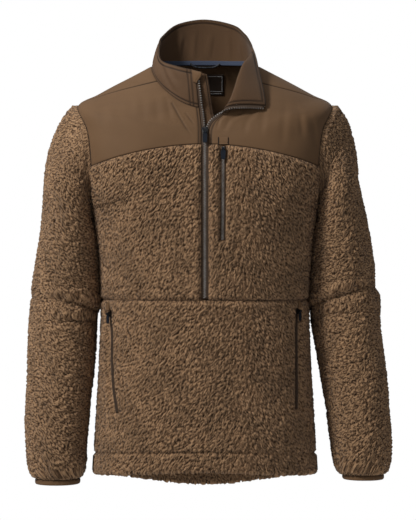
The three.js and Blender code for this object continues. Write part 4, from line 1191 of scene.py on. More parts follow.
def make_yoke(shell):
    neck = constant(NECK_ROW)
    runs = [armhole_run(ARMHOLE_CORNERS[1], 0), shoulder_run()]
    right_edge = opening_turn(RIGHT_OPENING, front_seam_row, neck)
    right = cut_grid(runs, right_edge, front_seam_row, neck, SHELL_STEP)
    shell_panel("yoke_front_right", [mirrored(part) for part in right], YOKE_FOLDS["right"], shell, 21, -1)
    left_edge = opening_turn(LEFT_OPENING, front_seam_row, left_neck_row)
    left = cut_grid(runs, left_edge, front_seam_row, left_neck_row, SHELL_STEP)
    shell_panel("yoke_front_left", left, YOKE_FOLDS["left"], shell, 22, 0)
    runs = [behind(armhole_run(ARMHOLE_CORNERS[3], 360)), behind(shoulder_run())]
    back = cut_grid(runs, whole_back, back_seam_row, neck, SHELL_STEP)
    shell_panel("yoke_back", back, YOKE_FOLDS["back"], shell, 23)


# Collar

COLLAR_ENDS = {"right": 7.0, "left": 338.0}
COLLAR_STEP = 2.0
COLLAR_SIZE = {"length": 560.0, "height": 105.0, "middle": 0.6}
COLLAR_BIT = 0.04

# Millimetres round the collar for each degree, at its front edges.
COLLAR_ARC = 1.45
COLLAR_EDGE_STITCH = 6.5
COLLAR_FOOT_STITCH = 6.0
COLLAR_ZIP_STITCHES = (9.0, 15.5)
COLLAR_FOOT_GROOVE = 1.6
COLLAR_CLOTH = {"edge": 0.55, "body": 0.95, "roll": 1.5, "thinnest": 0.5, "inner": -0.1, "calm": 8.0}
COLLAR_WAVES = {"lift": 0.5, "size": 30.0}
LINING = {"inner": -2.0, "outer": -0.6, "roll": 1.6, "thinnest": 0.5, "highest": 0.1}
COLLAR_FOLDS = creases(
    ([(-80, 20), (-68, -12), (-57, -35), (-44, -49)], 4.0, 2.2, 1.8, 0.4),
    ([(-66, 8), (-52, -16), (-40, -30)], 5.0, 0.9, 0.6, 0.3),
    ([(-32, -4), (-30, -44)], 5.0, 0.6, 0.5, 0.4),
)
LINING_FOLDS = creases(
    ([(-43, 74), (-49, 24)], 6.0, 1.6, 1.2, 0.2),
    ([(-17, 80), (-21, 22)], 5.0, 0.9, 0.8, 0.3),
    ([(12, 80), (6, 22)], 6.5, 1.1, 0.9, 0.2),
    ([(43, 76), (46, 22)], 5.5, 1.4, 1.1, 0.3),
    ([(62, 62), (68, 20)], 5.0, 1.2, 0.9, 0.3),
)


def collar_point(angle, height):
    """A point of the collar: a bent line from the neck seam past its middle point to its top edge."""
    angle, height = np.broadcast_arrays(np.asarray(angle, float), np.asarray(height, float))
    turn = np.where(angle > 180, 360 - angle, -angle)
    sagging = (turn > 0) & (turn < OPEN_NECK["fade"])
    foot = body_point(turn, np.where(sagging, left_neck_row(turn), NECK_ROW))
    middle = stack(*(read(COLLAR["angle"], COLLAR[column], angle) for column in ("mid_x", "mid_y", "mid_z")))
    top = stack(*(read(COLLAR["angle"], COLLAR[column], angle) for column in ("x", "y", "z")))
    height = height[..., None]
    rise = 1 - height
    return foot * rise * rise + middle * 2 * rise * height + top * height * height


def collar_frame(angle, height):
    across = collar_point(angle - NUDGE["turn"], height) - collar_point(angle + NUDGE["turn"], height)
    up = collar_point(angle, height + NUDGE["height"]) - collar_point(angle, height - NUDGE["height"])
    return frame_on(collar_point(angle, height), across, up)


def collar_height_above(angle, distance):
    reach = np.linalg.norm(collar_point(angle, COLLAR_BIT) - collar_point(angle, 0.0), axis=-1)
    return distance / reach * COLLAR_BIT


def collar_height_below(angle, distance):
    reach = np.linalg.norm(collar_point(angle, 1.0) - collar_point(angle, 1.0 - COLLAR_BIT), axis=-1)
    return 1 - distance / reach * COLLAR_BIT


def collar_grid(columns, rows):
    """Frames of the whole collar: columns go from the left front edge back and round to the right one."""
    dense = steps_between(COLLAR_ENDS["left"], COLLAR_ENDS["right"], DENSE)
    length = lengths_along(collar_point(dense, COLLAR_SIZE["middle"]), 0)
    angle = np.interp(steps_between(0, length[-1], columns), length, dense)
    level = steps_between(0, 1, rows)[:, None]
    height = mix(collar_height_above(angle, COLLAR_FOOT)[None, :], 1.0, level)
    return collar_frame(np.broadcast_to(angle, height.shape), height)


def edge_roll(near, radius):
    """How much of a cloth's thickness is left near a turned edge."""
    share = np.clip(1 - near / radius, 0, 1)
    return np.sqrt(np.clip(1 - share * share, 0, 1))


def make_collar(shell, lining):
    point, _, _, out = collar_grid(*(cells(COLLAR_SIZE[side], COLLAR_STEP) for side in ("length", "height")))
    along, height = lengths_along(point, 1), lengths_along(point, 0)
    from_right = along[:, [-1]] - along
    from_top = height[[-1]] - height
    near, free = edge_distance(point), edge_distance(point, foot=False)
    places = places_on(point)
    folds = creased(point, COLLAR_FOLDS) + creased(point, LINING_FOLDS, True)
    waves = COLLAR_WAVES["lift"] * soft_noise(places, COLLAR_WAVES["size"], 31)
    shared = (folds + waves) * smooth(near, 0, COLLAR_CLOTH["calm"])
    rise = COLLAR_CLOTH["edge"] + COLLAR_CLOTH["body"] * edge_roll(near, COLLAR_CLOTH["roll"]) + shared
    rise += groove(from_top - COLLAR_EDGE_STITCH)
    rise += COLLAR_FOOT_GROOVE * groove(height - COLLAR_FOOT_STITCH)
    sewn_at = [from_top - COLLAR_EDGE_STITCH, height - COLLAR_FOOT_STITCH]
    for distance in COLLAR_ZIP_STITCHES:
        rise += groove(from_right - distance)
        sewn_at.append(from_right - distance)
    outer = lifted(point, out, np.maximum(rise, COLLAR_CLOTH["thinnest"] + shared))
    inner = lifted(point, out, np.minimum(shared + COLLAR_CLOTH["inner"], 0))
    outside = cloth_wall("collar_shell", "cloth", outer, inner, places, shell)
    # Painted shade along the collar's edges and its lines of sewing.
    set_painted_shade(outside, painted_seam_shade(near, *sewn_at))
    cut(outside, point)
    hidden = LINING["outer"] + np.minimum(shared, 0)
    fall = LINING["inner"] * edge_roll(free, LINING["roll"]) - groove(free - COLLAR_EDGE_STITCH)
    fall = np.minimum(fall + np.minimum(shared, LINING["highest"]), hidden - LINING["thinnest"])
    inside, hidden = lifted(point, out, fall), lifted(point, out, hidden)
    cover = inward_cloth("collar_lining", "cloth", inside, hidden, places, lining)
    # Painted shade along the lining's free edges and its sewing.
    set_painted_shade(cover, painted_seam_shade(free, free - COLLAR_EDGE_STITCH)[:, ::-1])
    cut(cover, point)


# The wind flap, the chin guard and what is sewn inside the neck

FLAP_EDGE = {"height": [-122, -104, -90, -77, -51, -31, -9], "x": [15, 21, 19.5, 15, 10.5, 8, 4.4]}
FLAP = {"low": -5.6, "high": -4.4, "hidden": -5.0, "stitch": 4.0, "edge": 0.5, "roll": 1.0}
FLAP_GRID = {
    "columns": 12, "body": (-122.0, -78.0), "step": 2.5, "collar": (0.1, 0.95), "rows": 36, "top": -9.0,
}
FLAP_WAVES = {"lift": 0.35, "size": 18.0, "calm": (2.0, 8.0)}
CHIN = {"foot": 0.66, "behind": -5.0, "past": 15.0, "point": 2.5, "full": 0.96, "cells": 12}
# A chin guard's seam entry is how strong the painted shade along its edges is.
CHIN_CLOTH = {"lift": 2.1, "cloth": 1.9, "stitch": 2.6, "edge": 0.4, "roll": 1.6, "seam": 0.6}
NECK_TAPE = {"from": 262.0, "to": 100.0, "middle": -3.4, "side": 3.8, "width": 8.4}
NECK_TAPE_CLOTH = {"inner": -3.4, "outer": -2.5, "edge": 0.35, "roll": 1.2, "columns": 160, "rows": 8}
LOOP = {"half": 27.0, "bend": 72.0, "sag": 8.0, "high": 0.0, "inside": -5.7, "rows": 96}
CORD = {"radius": 1.6, "core": 0.86, "sides": 16, "twist": 5.0}
LABEL = {"half": 34.0, "top": 4.0, "foot": -32.0, "columns": 32, "rows": 20}
LABEL_CLOTH = {"inner": -1.9, "outer": -1.1, "edge": 0.3, "roll": 1.5}
LABEL_LINES = {"side": 3.0, "top": 3.5, "foot": 6.5, "rule": 2.5, "rule_short": 1.0, "cells": 24}
LABEL_THREAD = {"pitch": 0.9, "half": (0.8, 0.55, 0.2), "sunk": 0.05}


def beside_collar_edge(level, reach):
    """A spot beside the collar's front edge on the wearer's right: behind it along the collar, or past it."""
    level = level + 0 * reach
    angle = COLLAR_ENDS["right"] + np.maximum(-reach, 0) / COLLAR_ARC
    point, across, _, out = collar_frame(angle, level)
    return lifted(point, across, np.maximum(reach, 0)), out


def make_wind_flap(lining):
    """The flap behind the zip, and the line that its edge is sewn along."""
    share = steps_between(0, 1, FLAP_GRID["columns"])[None, :]
    height = between(*FLAP_GRID["body"], FLAP_GRID["step"])[:, None]
    start = -read(RIGHT_OPENING["height"], RIGHT_OPENING["x"], height) + FLAP["hidden"]
    end = read(FLAP_EDGE["height"], FLAP_EDGE["x"], height)
    low_point, _, _, low_out = front_frame(mix(start, end, share), height)
    level = steps_between(*FLAP_GRID["collar"], FLAP_GRID["rows"])[:, None]
    edge = collar_point(COLLAR_ENDS["right"], level)
    height = np.minimum(edge[..., 2], FLAP_GRID["top"])
    end = read(FLAP_EDGE["height"], FLAP_EDGE["x"], height) - edge[..., 0]
    high_point, high_out = beside_collar_edge(level, mix(FLAP["hidden"], end, share))
    point, out = np.concatenate([low_point, high_point]), np.concatenate([low_out, high_out])
    along = lengths_along(point, 1)
    from_edge = along[:, [-1]] - along
    from_stitch = from_edge - FLAP["stitch"]
    places = places_on(point)
    lift = FLAP["high"] - FLAP["edge"] * (1 - edge_roll(from_edge, FLAP["roll"])) + groove(from_stitch)
    waves = FLAP_WAVES["lift"] * soft_noise(places, FLAP_WAVES["size"], 41)
    lift = lift + waves * smooth(from_edge, *FLAP_WAVES["calm"])
    outer, inner = lifted(point, out, lift), lifted(point, out, FLAP["low"])
    piece = cloth_wall("wind_flap", "cloth", outer, inner, places, lining)
    # Painted shade along the flap's edges and its sewing.
    set_painted_shade(piece, painted_seam_shade(from_edge, from_stitch))
    cut(piece, point)
    column = np.argmin(np.abs(from_stitch[len(point) // 2]))
    return lifted(point, out, FLAP["high"])[:, column], out[:, column]


def make_chin_guard(shell):
    level = steps_between(CHIN["foot"], 1, CHIN["cells"])[:, None]
    share = steps_between(0, 1, CHIN["cells"])[None, :]
    past = mix(CHIN["point"], CHIN["past"], smooth(level, CHIN["foot"], CHIN["full"]))
    point, out = beside_collar_edge(level, mix(CHIN["behind"], past, share))
    near = edge_distance(point)
    full = mix(CHIN_CLOTH["edge"], 1.0, edge_roll(near, CHIN_CLOTH["roll"]))
    lift = CHIN_CLOTH["lift"] + CHIN_CLOTH["cloth"] * full + groove(near - CHIN_CLOTH["stitch"])
    places = places_on(point)
    outer, inner = lifted(point, out, lift), lifted(point, out, CHIN_CLOTH["lift"])
    piece = cloth_wall("chin_guard", "cloth", outer, inner, places, shell)
    # Painted shade along the chin guard's edges, at a share of full strength.
    set_painted_shade(piece, CHIN_CLOTH["seam"] * painted_seam_shade(near))
    cut(piece, point)


def neck_tape_frames(columns, rows):
    """The tape hangs nearly straight, so it covers the neck seam in the middle only."""
    angle = steps_between(NECK_TAPE["from"], NECK_TAPE["to"], columns)
    foot = mix(NECK_TAPE["side"], NECK_TAPE["middle"], np.abs(np.cos(np.radians(angle))) ** RING_DIP)
    height = collar_height_above(angle, foot + NECK_TAPE["width"] * steps_between(0, 1, rows)[:, None])
    return collar_frame(np.broadcast_to(angle, height.shape), height)


def thinned(cloth, near):
    """A cloth's inward lift, with less of it at the edges."""
    return cloth["inner"] + cloth["edge"] * (1 - edge_roll(near, cloth["roll"]))


def make_neck_tape(tape):
    point, _, _, out = neck_tape_frames(NECK_TAPE_CLOTH["columns"], NECK_TAPE_CLOTH["rows"])
    height = lengths_along(point, 0)
    near = np.minimum(height, height[[-1]] - height)
    inside = lifted(point, out, thinned(NECK_TAPE_CLOTH, near))
    hidden = lifted(point, out, NECK_TAPE_CLOTH["outer"])
    cut(inward_cloth("neck_tape", "band", inside, hidden, places_on(point), tape), point)


def make_hanger_loop(cord):
    """A twisted cord: its section has three strands, which turn as they go along it."""
    share = steps_between(-1, 1, LOOP["rows"])
    angle = 180 + np.degrees(np.arcsin(share * LOOP["half"] / LOOP["bend"]))
    point, _, _, out = collar_frame(angle, np.full(angle.shape, LOOP["high"]))
    point = lifted(point, out, LOOP["inside"])
    point[:, 2] -= LOOP["sag"] * (1 - share ** 4)
    ahead = unit(np.gradient(point, axis=0))
    aside = unit(np.cross(out, ahead))
    normal = np.cross(ahead, aside)
    around = np.radians(steps_between(0, 360, CORD["sides"])[:-1])[None, :]
    turn = 2 * math.pi * lengths_along(point, 0)[:, None] / CORD["twist"]
    radius = CORD["radius"] * mix(CORD["core"], 1.0, np.abs(np.cos(1.5 * (around - turn))))
    ring = lifted(point[:, None], aside[:, None], radius * np.cos(around))
    ring = lifted(ring, normal[:, None], radius * np.sin(around))
    bm = bmesh.new()
    laid_grid(bm, ring, around=True)
    bmesh.ops.holes_fill(bm, edges=[edge for edge in bm.edges if edge.is_boundary])
    bmesh.ops.recalc_face_normals(bm, faces=bm.faces)
    finished("hanger_loop_cord", bm, cord, ("hanger_loop",))


def label_frames(x, height):
    """Points and outward directions on the inside of the back, at places given as seen from the front."""
    x, height = np.broadcast_arrays(x, height)
    turn = np.full(x.shape, 180.0)
    for _ in range(ROUNDS):
        row = row_at(turn, height)
        turn = 180 - np.degrees(np.arctan2(x, body_point(turn, row)[..., 1]))
    point, _, _, out = body_frame(turn, row)
    return point, out


def woven_line(start, end):
    share = steps_between(0, 1, LABEL_LINES["cells"])
    point, out = label_frames(*(mix(a, b, share) for a, b in zip(start, end)))
    return lifted(point, out, LABEL_CLOTH["inner"] - LABEL_THREAD["sunk"]), -out


def make_label(label, thread):
    """A plain label with a border and one rule."""
    x = steps_between(LABEL["half"], -LABEL["half"], LABEL["columns"])[None, :]
    height = steps_between(LABEL["foot"], LABEL["top"], LABEL["rows"])[:, None]
    point, out = label_frames(x, height)
    inside = lifted(point, out, thinned(LABEL_CLOTH, edge_distance(point)))
    hidden = lifted(point, out, LABEL_CLOTH["outer"])
    cut(inward_cloth("neck_label", "cloth", inside, hidden, places_on(point), label), point)
    right = LABEL["half"] - LABEL_LINES["side"]
    top, foot = LABEL["top"] - LABEL_LINES["top"], LABEL["foot"] + LABEL_LINES["foot"]
    corners = [(-right, top), (right, top), (right, foot), (-right, foot), (-right, top)]
    lines = [woven_line(*corners[k:k + 2]) for k in range(4)]
    rule, reach = LABEL["foot"] + LABEL_LINES["rule"], right - LABEL_LINES["rule_short"]
    lines.append(woven_line((-reach, rule), (reach, rule)))
    frames = [spaced(line, LABEL_THREAD["pitch"]) for line in lines]
    repeated("neck_label_border", bead(LABEL_THREAD["half"]), frames, thread)


# Zips

TAPE_WIDTH = 5.1
TAPE_START = 0.5

# A tape has a rounded cord along its edge; a zip's tooth stands on the free one.
TAPE_CORD = {"lift": 0.15, "from_edge": 0.7, "half": 0.8, "sunk": 0.35}
POCKET_CORD = {"lift": 0.3, "from_edge": 0.5, "half": 0.6, "sunk": 0.3}
TOOTH = {"pitch": 4.2, "half": (0.66, 1.5, 0.95), "eased": 0.3, "lift": 0.95, "back": 0.45}
TEETH_START = {"right": 0.5, "left": 1.0}
COIL = {"pitch": 2.4, "half": (0.55, 1.5, 0.6), "lift": 1.9, "turn": 24.0, "shift": 0.95}
ZIP_FOOT = -402.0
ZIP_COLUMNS = steps_between(0, 1, 6)
COLLAR_LEVEL_STEP = 0.02
MAIN_ZIP = {
    "right": {"side": -1, "opening": RIGHT_OPENING, "body": (-397.0, -73.0), "collar": (0.08, 0.97)},
    "left": {"side": 1, "opening": LEFT_OPENING, "body": (-397.0, -83.0), "collar": (0.1, 0.98)},
}


def zip_edge(name):
    """The cloth's edge beside the zip, from its foot up: points, way to the left, and out."""
    half = MAIN_ZIP[name]
    opening = {"height": [ZIP_FOOT, *half["opening"]["height"]], "x": [ZIP_GAP, *half["opening"]["x"]]}
    height = between(*half["body"], LINE_STEP)
    point, _, _, out = front_frame(half["side"] * read(opening["height"], opening["x"], height), height)
    sideways = unit(np.cross(unit(np.gradient(point, axis=0)), out))
    level = between(*half["collar"], COLLAR_LEVEL_STEP)
    high = collar_frame(np.full(level.shape, COLLAR_ENDS[name]), level)
    low = (point, sideways, out)
    return [np.concatenate(pair) for pair in zip(low, (high[0], high[1], high[3]))]


def tape_places(name, share):
    """Distances from the cloth's edge into the opening, towards the wearer's left on the right half."""
    return -MAIN_ZIP[name]["side"] * mix(TAPE_START, TAPE_START + TAPE_WIDTH, share)


def corded(across, edge, cord):
    """How high a tape lies, with the cord along its edge."""
    from_cord = np.abs(across) - edge + cord["from_edge"]
    return TAPE_CLOTH - cord["sunk"] + cord["lift"] * bell(from_cord / cord["half"])


def make_main_zip(tape, metal):
    teeth = []
    for name, half in MAIN_ZIP.items():
        point, sideways, out = zip_edge(name)
        across = np.sort(tape_places(name, ZIP_COLUMNS))
        base = point[:, None] + sideways[:, None] * across[None, :, None]
        places = np.stack(np.broadcast_arrays(across[None, :], lengths_along(point, 0)[:, None]), axis=-1)
        outer = lifted(base, out[:, None], corded(across, TAPE_START + TAPE_WIDTH, TAPE_CORD)[None, :])
        piece = cloth_wall(f"zip_tape_{name}", "cloth", outer, base, places, tape)
        cut(piece, base)
        free = point + sideways * tape_places(name, 1.0)
        frames = spaced(raised((free, out), TOOTH["lift"]), TOOTH["pitch"], TEETH_START[name])
        teeth.append(shifted(frames, -half["side"] * TOOTH["back"]))
    bm = bmesh.new()
    bmesh.ops.create_cube(bm, size=2.0)
    bmesh.ops.scale(bm, verts=bm.verts, vec=TOOTH["half"])
    bmesh.ops.bevel(bm, geom=list(bm.edges), offset=TOOTH["eased"], offset_type="OFFSET", segments=1,
                    profile=0.5, affect="EDGES", material=-1)
    repeated("zip_teeth", bm, teeth, metal)


def coil_frames(line):
    """Frames for the two sides of a closed coil, slanting towards each other."""
    frames = spaced(raised(line, COIL["lift"]), COIL["pitch"] / 2)
    side = np.where(np.arange(len(frames[0])) % 2 == 0, 1.0, -1.0)
    return turned(shifted(frames, side * COIL["shift"]), side * COIL["turn"])


def upward(pocket):
    return list(zip(pocket["x"], pocket["z"]))[::-1]


POCKET_TAPE = {"inside": 0.3, "columns": 8}


def make_pocket_zips(tape, metal, dark):
    pockets = (
        ("chest_zip", CHEST_POCKET, CHEST_SLOT, metal, ""),
        ("hand_zip", HAND_POCKETS["right"], HAND_SLOT, dark, "_right"),
        ("hand_zip", HAND_POCKETS["left"], HAND_SLOT, dark, "_left"),
    )
    for name, pocket, width, coil, side in pockets:
        line = front_line(upward(pocket))
        half = width / 2 - POCKET_TAPE["inside"]
        across = steps_between(-half, half, POCKET_TAPE["columns"])
        high = TAPE_LIFT + corded(across, half, POCKET_CORD)
        piece, grid = band(f"{name}_tape{side}", line, across, TAPE_LIFT, high, tape)
        cut(piece, grid)
        repeated(f"{name}_coil{side}", bead(COIL["half"]), [coil_frames(line)], coil)


# Hard pieces keep their own solids, with their edges eased.

EASED = {
    "zip_slider_main": ("slider", GARMENT, 0.3),
    "chest_slider": ("slider", GARMENT, 0.25),
    "hand_slider_right": ("slider", GARMENT, 0.2),
    "hand_slider_left": ("slider", GARMENT, 0.2),
    "pull_main": ("trim", "main_pull", 0.35),
    "chest_pull": ("trim", "chest_pull", 0.35),
    "hand_pull_right": ("trim", "hand_pull_right", 0.35),
    "hand_pull_left": ("trim", "hand_pull_left", 0.35),
}

# Edges that bend less than the first angle are dissolved, and those that bend more than the second eased.
FLAT_ANGLE = math.radians(2)
SHARP_ANGLE = math.radians(35)


def make_hard_pieces(materials):
    for solid, (slot, body, ease) in EASED.items():
        bm = bmesh.new()
        bm.from_mesh(bpy.data.objects[solid].data)
        bmesh.ops.remove_doubles(bm, verts=bm.verts, dist=1e-6)
        flat = [edge for edge in bm.edges if edge.calc_face_angle(0) < FLAT_ANGLE]
        bmesh.ops.dissolve_edges(bm, edges=flat, use_verts=True)
        sharp = [edge for edge in bm.edges if edge.calc_face_angle(0) > SHARP_ANGLE]
        bmesh.ops.bevel(bm, geom=sharp, offset=ease * MM, offset_type="OFFSET", segments=2, profile=0.5,
                        affect="EDGES", material=-1, clamp_overlap=True)
        bmesh.ops.triangulate(bm, faces=[face for face in bm.faces if len(face.verts) > 4])
        piece = finished(f"{solid}_eased", bm, materials[slot], (solid,), body)
        piece.data.polygons.foreach_set("use_smooth", np.zeros(len(piece.data.polygons), bool))


# Cuffs, garages and hem tabs

# Levels run from 0 at a binding's seam to 1 at its end, and above the seam it is tucked into the sleeve.
CUFF = {"up": 0.4, "stitch": 0.26, "rows": 28, "columns": 160, "radius": 60.0}
CUFF_TUCK = {"outer": 4.9, "inner": 5.7, "least": 0.1, "roll": 1.1, "groove": 0.35, "at": 0.24, "half": 0.07}
CUFF_COMES_OUT = {"outer": (-0.02, 0.1), "inner": (0.05, 0.3)}
GATHERS = {"tuck": 0.15, "round": 23, "swing": 2.2, "swings": 3, "level": 0.55, "spread": 0.4}


def cuff_tucks(level, angle):
    """How far inside the cuff's outline the binding's outer and inner faces lie."""
    wander = GATHERS["swing"] * np.sin(GATHERS["swings"] * angle)
    gathers = np.sin(GATHERS["round"] * angle + wander) * bell((level - GATHERS["level"]) / GATHERS["spread"])
    tuck = CUFF_TUCK["least"] + CUFF_TUCK["roll"] * np.abs(2 * level - 1) ** 4 + GATHERS["tuck"] * gathers
    tuck = tuck + CUFF_TUCK["groove"] * bell((level - CUFF_TUCK["at"]) / CUFF_TUCK["half"])
    outer = mix(CUFF_TUCK["outer"], tuck, smooth(level, *CUFF_COMES_OUT["outer"]))
    return outer, mix(CUFF_TUCK["inner"], SHELL, smooth(level, *CUFF_COMES_OUT["inner"])) + 0 * outer


def make_cuff(name, shell):
    """A cuff's binding, and the line that it is sewn along."""
    arm = SLEEVES[name]
    cuff = arm["cuff"]
    level = steps_between(-CUFF["up"], 1, CUFF["rows"])[:, None]
    angle = np.radians(steps_between(0, 360, CUFF["columns"])[:-1])[None, :]

    def ring(tuck):
        reach = (cuff["outer"] - cuff["inner"]) / 2 - tuck
        return stack(
            (cuff["outer"] + cuff["inner"]) / 2 + reach * rounded(np.cos(angle), ARMHOLE["power"]),
            -cuff["back"] - (cuff["deep"] - tuck) * rounded(np.sin(angle), ARMHOLE["power"]),
            -cuff["top"] - cuff["height"] * level,
        )
    outer, inner = (ring(tuck) for tuck in cuff_tucks(level, angle))
    places = np.stack(np.broadcast_arrays(angle * CUFF["radius"], -level * cuff["height"]), axis=-1)
    if arm["side"] < 0:
        outer, inner = mirrored(outer), mirrored(inner)
        places = places[:, ::-1]
    solid = f"cuff_binding_{name}"
    piece = cloth_wall(solid, "cloth", outer, inner, places, shell, around=True)
    cut(piece, (outer + inner) / 2, around=True)
    row = outer[int(np.argmin(np.abs(level[:, 0] - CUFF["stitch"])))]
    closed = np.concatenate([row, row[:1]])
    out = unit((closed - closed.mean(axis=0)) * np.array([1.0, 1.0, 0.0]))
    return closed, out


GARAGE = {"half": 9.0, "low": 2.3, "high": 3.3, "foot": -134.4, "top": -122.5}
HAND_GARAGE = {"half": 4.5, "low": 6.3, "high": 8.2, "over": 0.8}
GARAGE_CLOTH = {"step": 0.8, "columns": 16, "roll": 1.4, "edge": 0.4}
GARAGE_MOUTH = {"lift": 0.35, "half": 0.12, "groove": 0.3, "groove_at": 0.24, "groove_half": 0.06}
BAR = {"pitch": 0.8, "half": (0.45, 1.15, 0.45), "chest_inside": 0.9, "hand_inside": 1.0, "cells": 8}


def garage_cloth(solid, x, foot, top, size, shell):
    """A zip's garage, and the line up its middle."""
    line = front_line([(x, foot), (x, top)], GARAGE_CLOTH["step"])
    across = steps_between(-size["half"], size["half"], GARAGE_CLOTH["columns"])
    share = lengths_along(line[0], 0)[:, None] / lengths_along(line[0], 0)[-1]
    full = edge_roll(size["half"] - np.abs(across), GARAGE_CLOTH["roll"])[None, :]
    mouth = GARAGE_MOUTH["lift"] * bell(share / GARAGE_MOUTH["half"])
    mouth -= GARAGE_MOUTH["groove"] * bell((share - GARAGE_MOUTH["groove_at"]) / GARAGE_MOUTH["groove_half"])
    high = mix(size["low"] + GARAGE_CLOTH["edge"], size["high"], full) + mouth
    piece, grid = band(solid, line, across, size["low"], high, shell)
    cut(piece, grid)
    return line


def make_garages(shell, dark):
    bars = []
    chest_x = CHEST_POCKET["x"][0]
    point, out = garage_cloth("chest_garage", chest_x, GARAGE["foot"], GARAGE["top"], GARAGE, shell)
    # Rows of dark beads along both sides of the chest garage.
    for side in (-1, 1):
        beside = point + ACROSS * side * (GARAGE["half"] - BAR["chest_inside"])
        bars.append((beside, out, GARAGE["high"]))
    for name, pocket in HAND_POCKETS.items():
        x, foot, top = pocket["x"][0], pocket["z"][0] + HAND_GARAGE["over"], pocket["garage_top"]
        point, out = garage_cloth(f"hand_garage_{name}", x, foot, top, HAND_GARAGE, shell)
        reach = (HAND_GARAGE["half"] - BAR["hand_inside"]) * steps_between(-1, 1, BAR["cells"])
        outward = np.tile(out[-2], (len(reach), 1))
        bars.append((point[-2] + reach[:, None] * ACROSS, outward, HAND_GARAGE["high"]))
    frames = [spaced(raised((point, out), high), BAR["pitch"]) for point, out, high in bars]
    repeated("garage_bars", bead(BAR["half"]), frames, dark)


HEM_TAB = {"turns": (86.0, 94.0), "rows": (0.08, 0.88), "cells": (20, 36), "lift": 7.6, "cloth": 0.85}
HEM_TAB_EDGE = 1.2
RIB = {"pitch": 1.6, "lift": 0.12}


def make_hem_tabs(webbing):
    turn = steps_between(*HEM_TAB["turns"], HEM_TAB["cells"][0])[None, :]
    row = steps_between(*HEM_TAB["rows"], HEM_TAB["cells"][1])[:, None]
    point, _, _, out = body_frame(*np.broadcast_arrays(turn, row))
    rib = RIB["lift"] * np.cos(2 * math.pi * lengths_along(point, 1) / RIB["pitch"])
    full = edge_roll(edge_distance(point), HEM_TAB_EDGE)
    outer = lifted(point, out, HEM_TAB["lift"] + HEM_TAB["cloth"] * full + rib)
    inner = lifted(point, out, HEM_TAB["lift"])
    places = places_on(point)
    for name in ("left", "right"):
        if name == "right":
            outer, inner, places = mirrored(outer), mirrored(inner), places[:, ::-1]
        piece = cloth_wall(f"hem_tab_{name}", "band", outer, inner, places, webbing)
        cut(piece, inner)


# Sewing that shows

YOKE_SEWING = {"right": (-133, -76), "left": (-133, -84)}
COLLAR_SEWING = {"past_left": 3, "past_right": 5, "step": 1.2, "level": (0.06, 0.94), "foot_sunk": 0.3}
CHEST_SEWING = {"half": 5.5, "top": -292, "foot": -301, "lift": 3.2}
HEM_SEWING = {"turns": ((-84.0, 84.0), (97.0, 263.0)), "cells": 239, "lift": 2.6}


def beside_zip(name):
    """A line of sewing beside the main zip on the yoke."""
    half = MAIN_ZIP[name]
    height = between(*YOKE_SEWING[name], LINE_STEP)
    reach = half["side"] * (read(half["opening"]["height"], half["opening"]["x"], height))
    edge, _, _, out = front_frame(reach, height)
    sideways = unit(np.cross(unit(np.gradient(edge, axis=0)), out))
    return raised((edge + sideways * half["side"] * ZIP_STITCH, out), SHELL - GROOVE["depth"])


def collar_line(angle, height, lift):
    point, _, _, out = collar_frame(angle, height)
    return raised((point, out), lift)


def inward(line):
    return line[0], -line[1]


def collar_rows():
    """Sewing round the collar: along its top edge inside and out, its front edges and above its foot."""
    angle = between(COLLAR_ENDS["left"] - COLLAR_SEWING["past_left"],
                    COLLAR_ENDS["right"] + COLLAR_SEWING["past_right"], COLLAR_SEWING["step"])
    top = collar_height_below(angle, COLLAR_EDGE_STITCH)
    foot = collar_height_above(angle, COLLAR_FOOT + COLLAR_FOOT_STITCH)
    shell_lift = COLLAR_SHELL - GROOVE["depth"]
    lining_lift = LINING["inner"] + GROOVE["depth"]
    foot_lift = shell_lift - COLLAR_SEWING["foot_sunk"] + creased(collar_point(angle, foot), COLLAR_FOLDS)
    outside = [collar_line(angle, top, shell_lift), collar_line(angle, foot, foot_lift)]
    level = between(*COLLAR_SEWING["level"], COLLAR_LEVEL_STEP)
    for distance in COLLAR_ZIP_STITCHES:
        outside.append(collar_line(COLLAR_ENDS["right"] + distance / COLLAR_ARC, level, shell_lift))
    left = COLLAR_ENDS["left"]
    degree = np.linalg.norm(collar_point(left, level) - collar_point(left - 1.0, level), axis=-1)
    inside = [collar_line(angle, top, lining_lift),
              collar_line(left - COLLAR_EDGE_STITCH / degree, level, lining_lift)]
    return outside, [inward(line) for line in inside]


def make_sewing(thread, cuff_lines, flap_line):
    outside, inside = collar_rows()
    sewn("collar_sewing", outside, thread)
    sewn("collar_lining_sewing", [*inside, flap_line], thread)
    sewn("yoke_sewing", [beside_zip(name) for name in YOKE_SEWING], thread)
    sewn("cuff_sewing", cuff_lines, thread)
    left, right = (CHEST_POCKET["x"][-1] + side * CHEST_SEWING["half"] for side in (-1, 1))
    top, foot = CHEST_SEWING["top"], CHEST_SEWING["foot"]
    corners = [(left, top), (left, foot), (right, foot), (right, top)]
    chest = [raised(front_line(corners[k:k + 2]), CHEST_SEWING["lift"]) for k in range(3)]
    sewn("chest_pocket_sewing", chest, thread)
    hem = []
    for turns in HEM_SEWING["turns"]:
        turn = steps_between(*turns, HEM_SEWING["cells"])
        hem.append(raised(body_line((turn, np.full(turn.shape, HEM["stitch"]))), HEM_SEWING["lift"]))
    sewn("hem_sewing", hem, thread)


# View and light

FLOOR_HEIGHT = -1.45
FLOOR_RADIUS = 2.4
ROOM_LIGHT = 0.22
LIGHTS_AIM = (0.0, 0.0, -0.35)

# Each light's place, side, power and colour.
LIGHTS = {
    "key": ((-1.95, -1.55, 1.7), 0.6, 84.0, (1.0, 0.985, 0.96)),
    "fill": ((2.4, -2.6, 0.3), 1.6, 4.0, (0.96, 0.98, 1.0)),
    "top": ((-0.5, -0.2, 2.2), 1.2, 9.0, (1.0, 1.0, 1.0)),
}
BACKDROP_LIGHT = 1.0


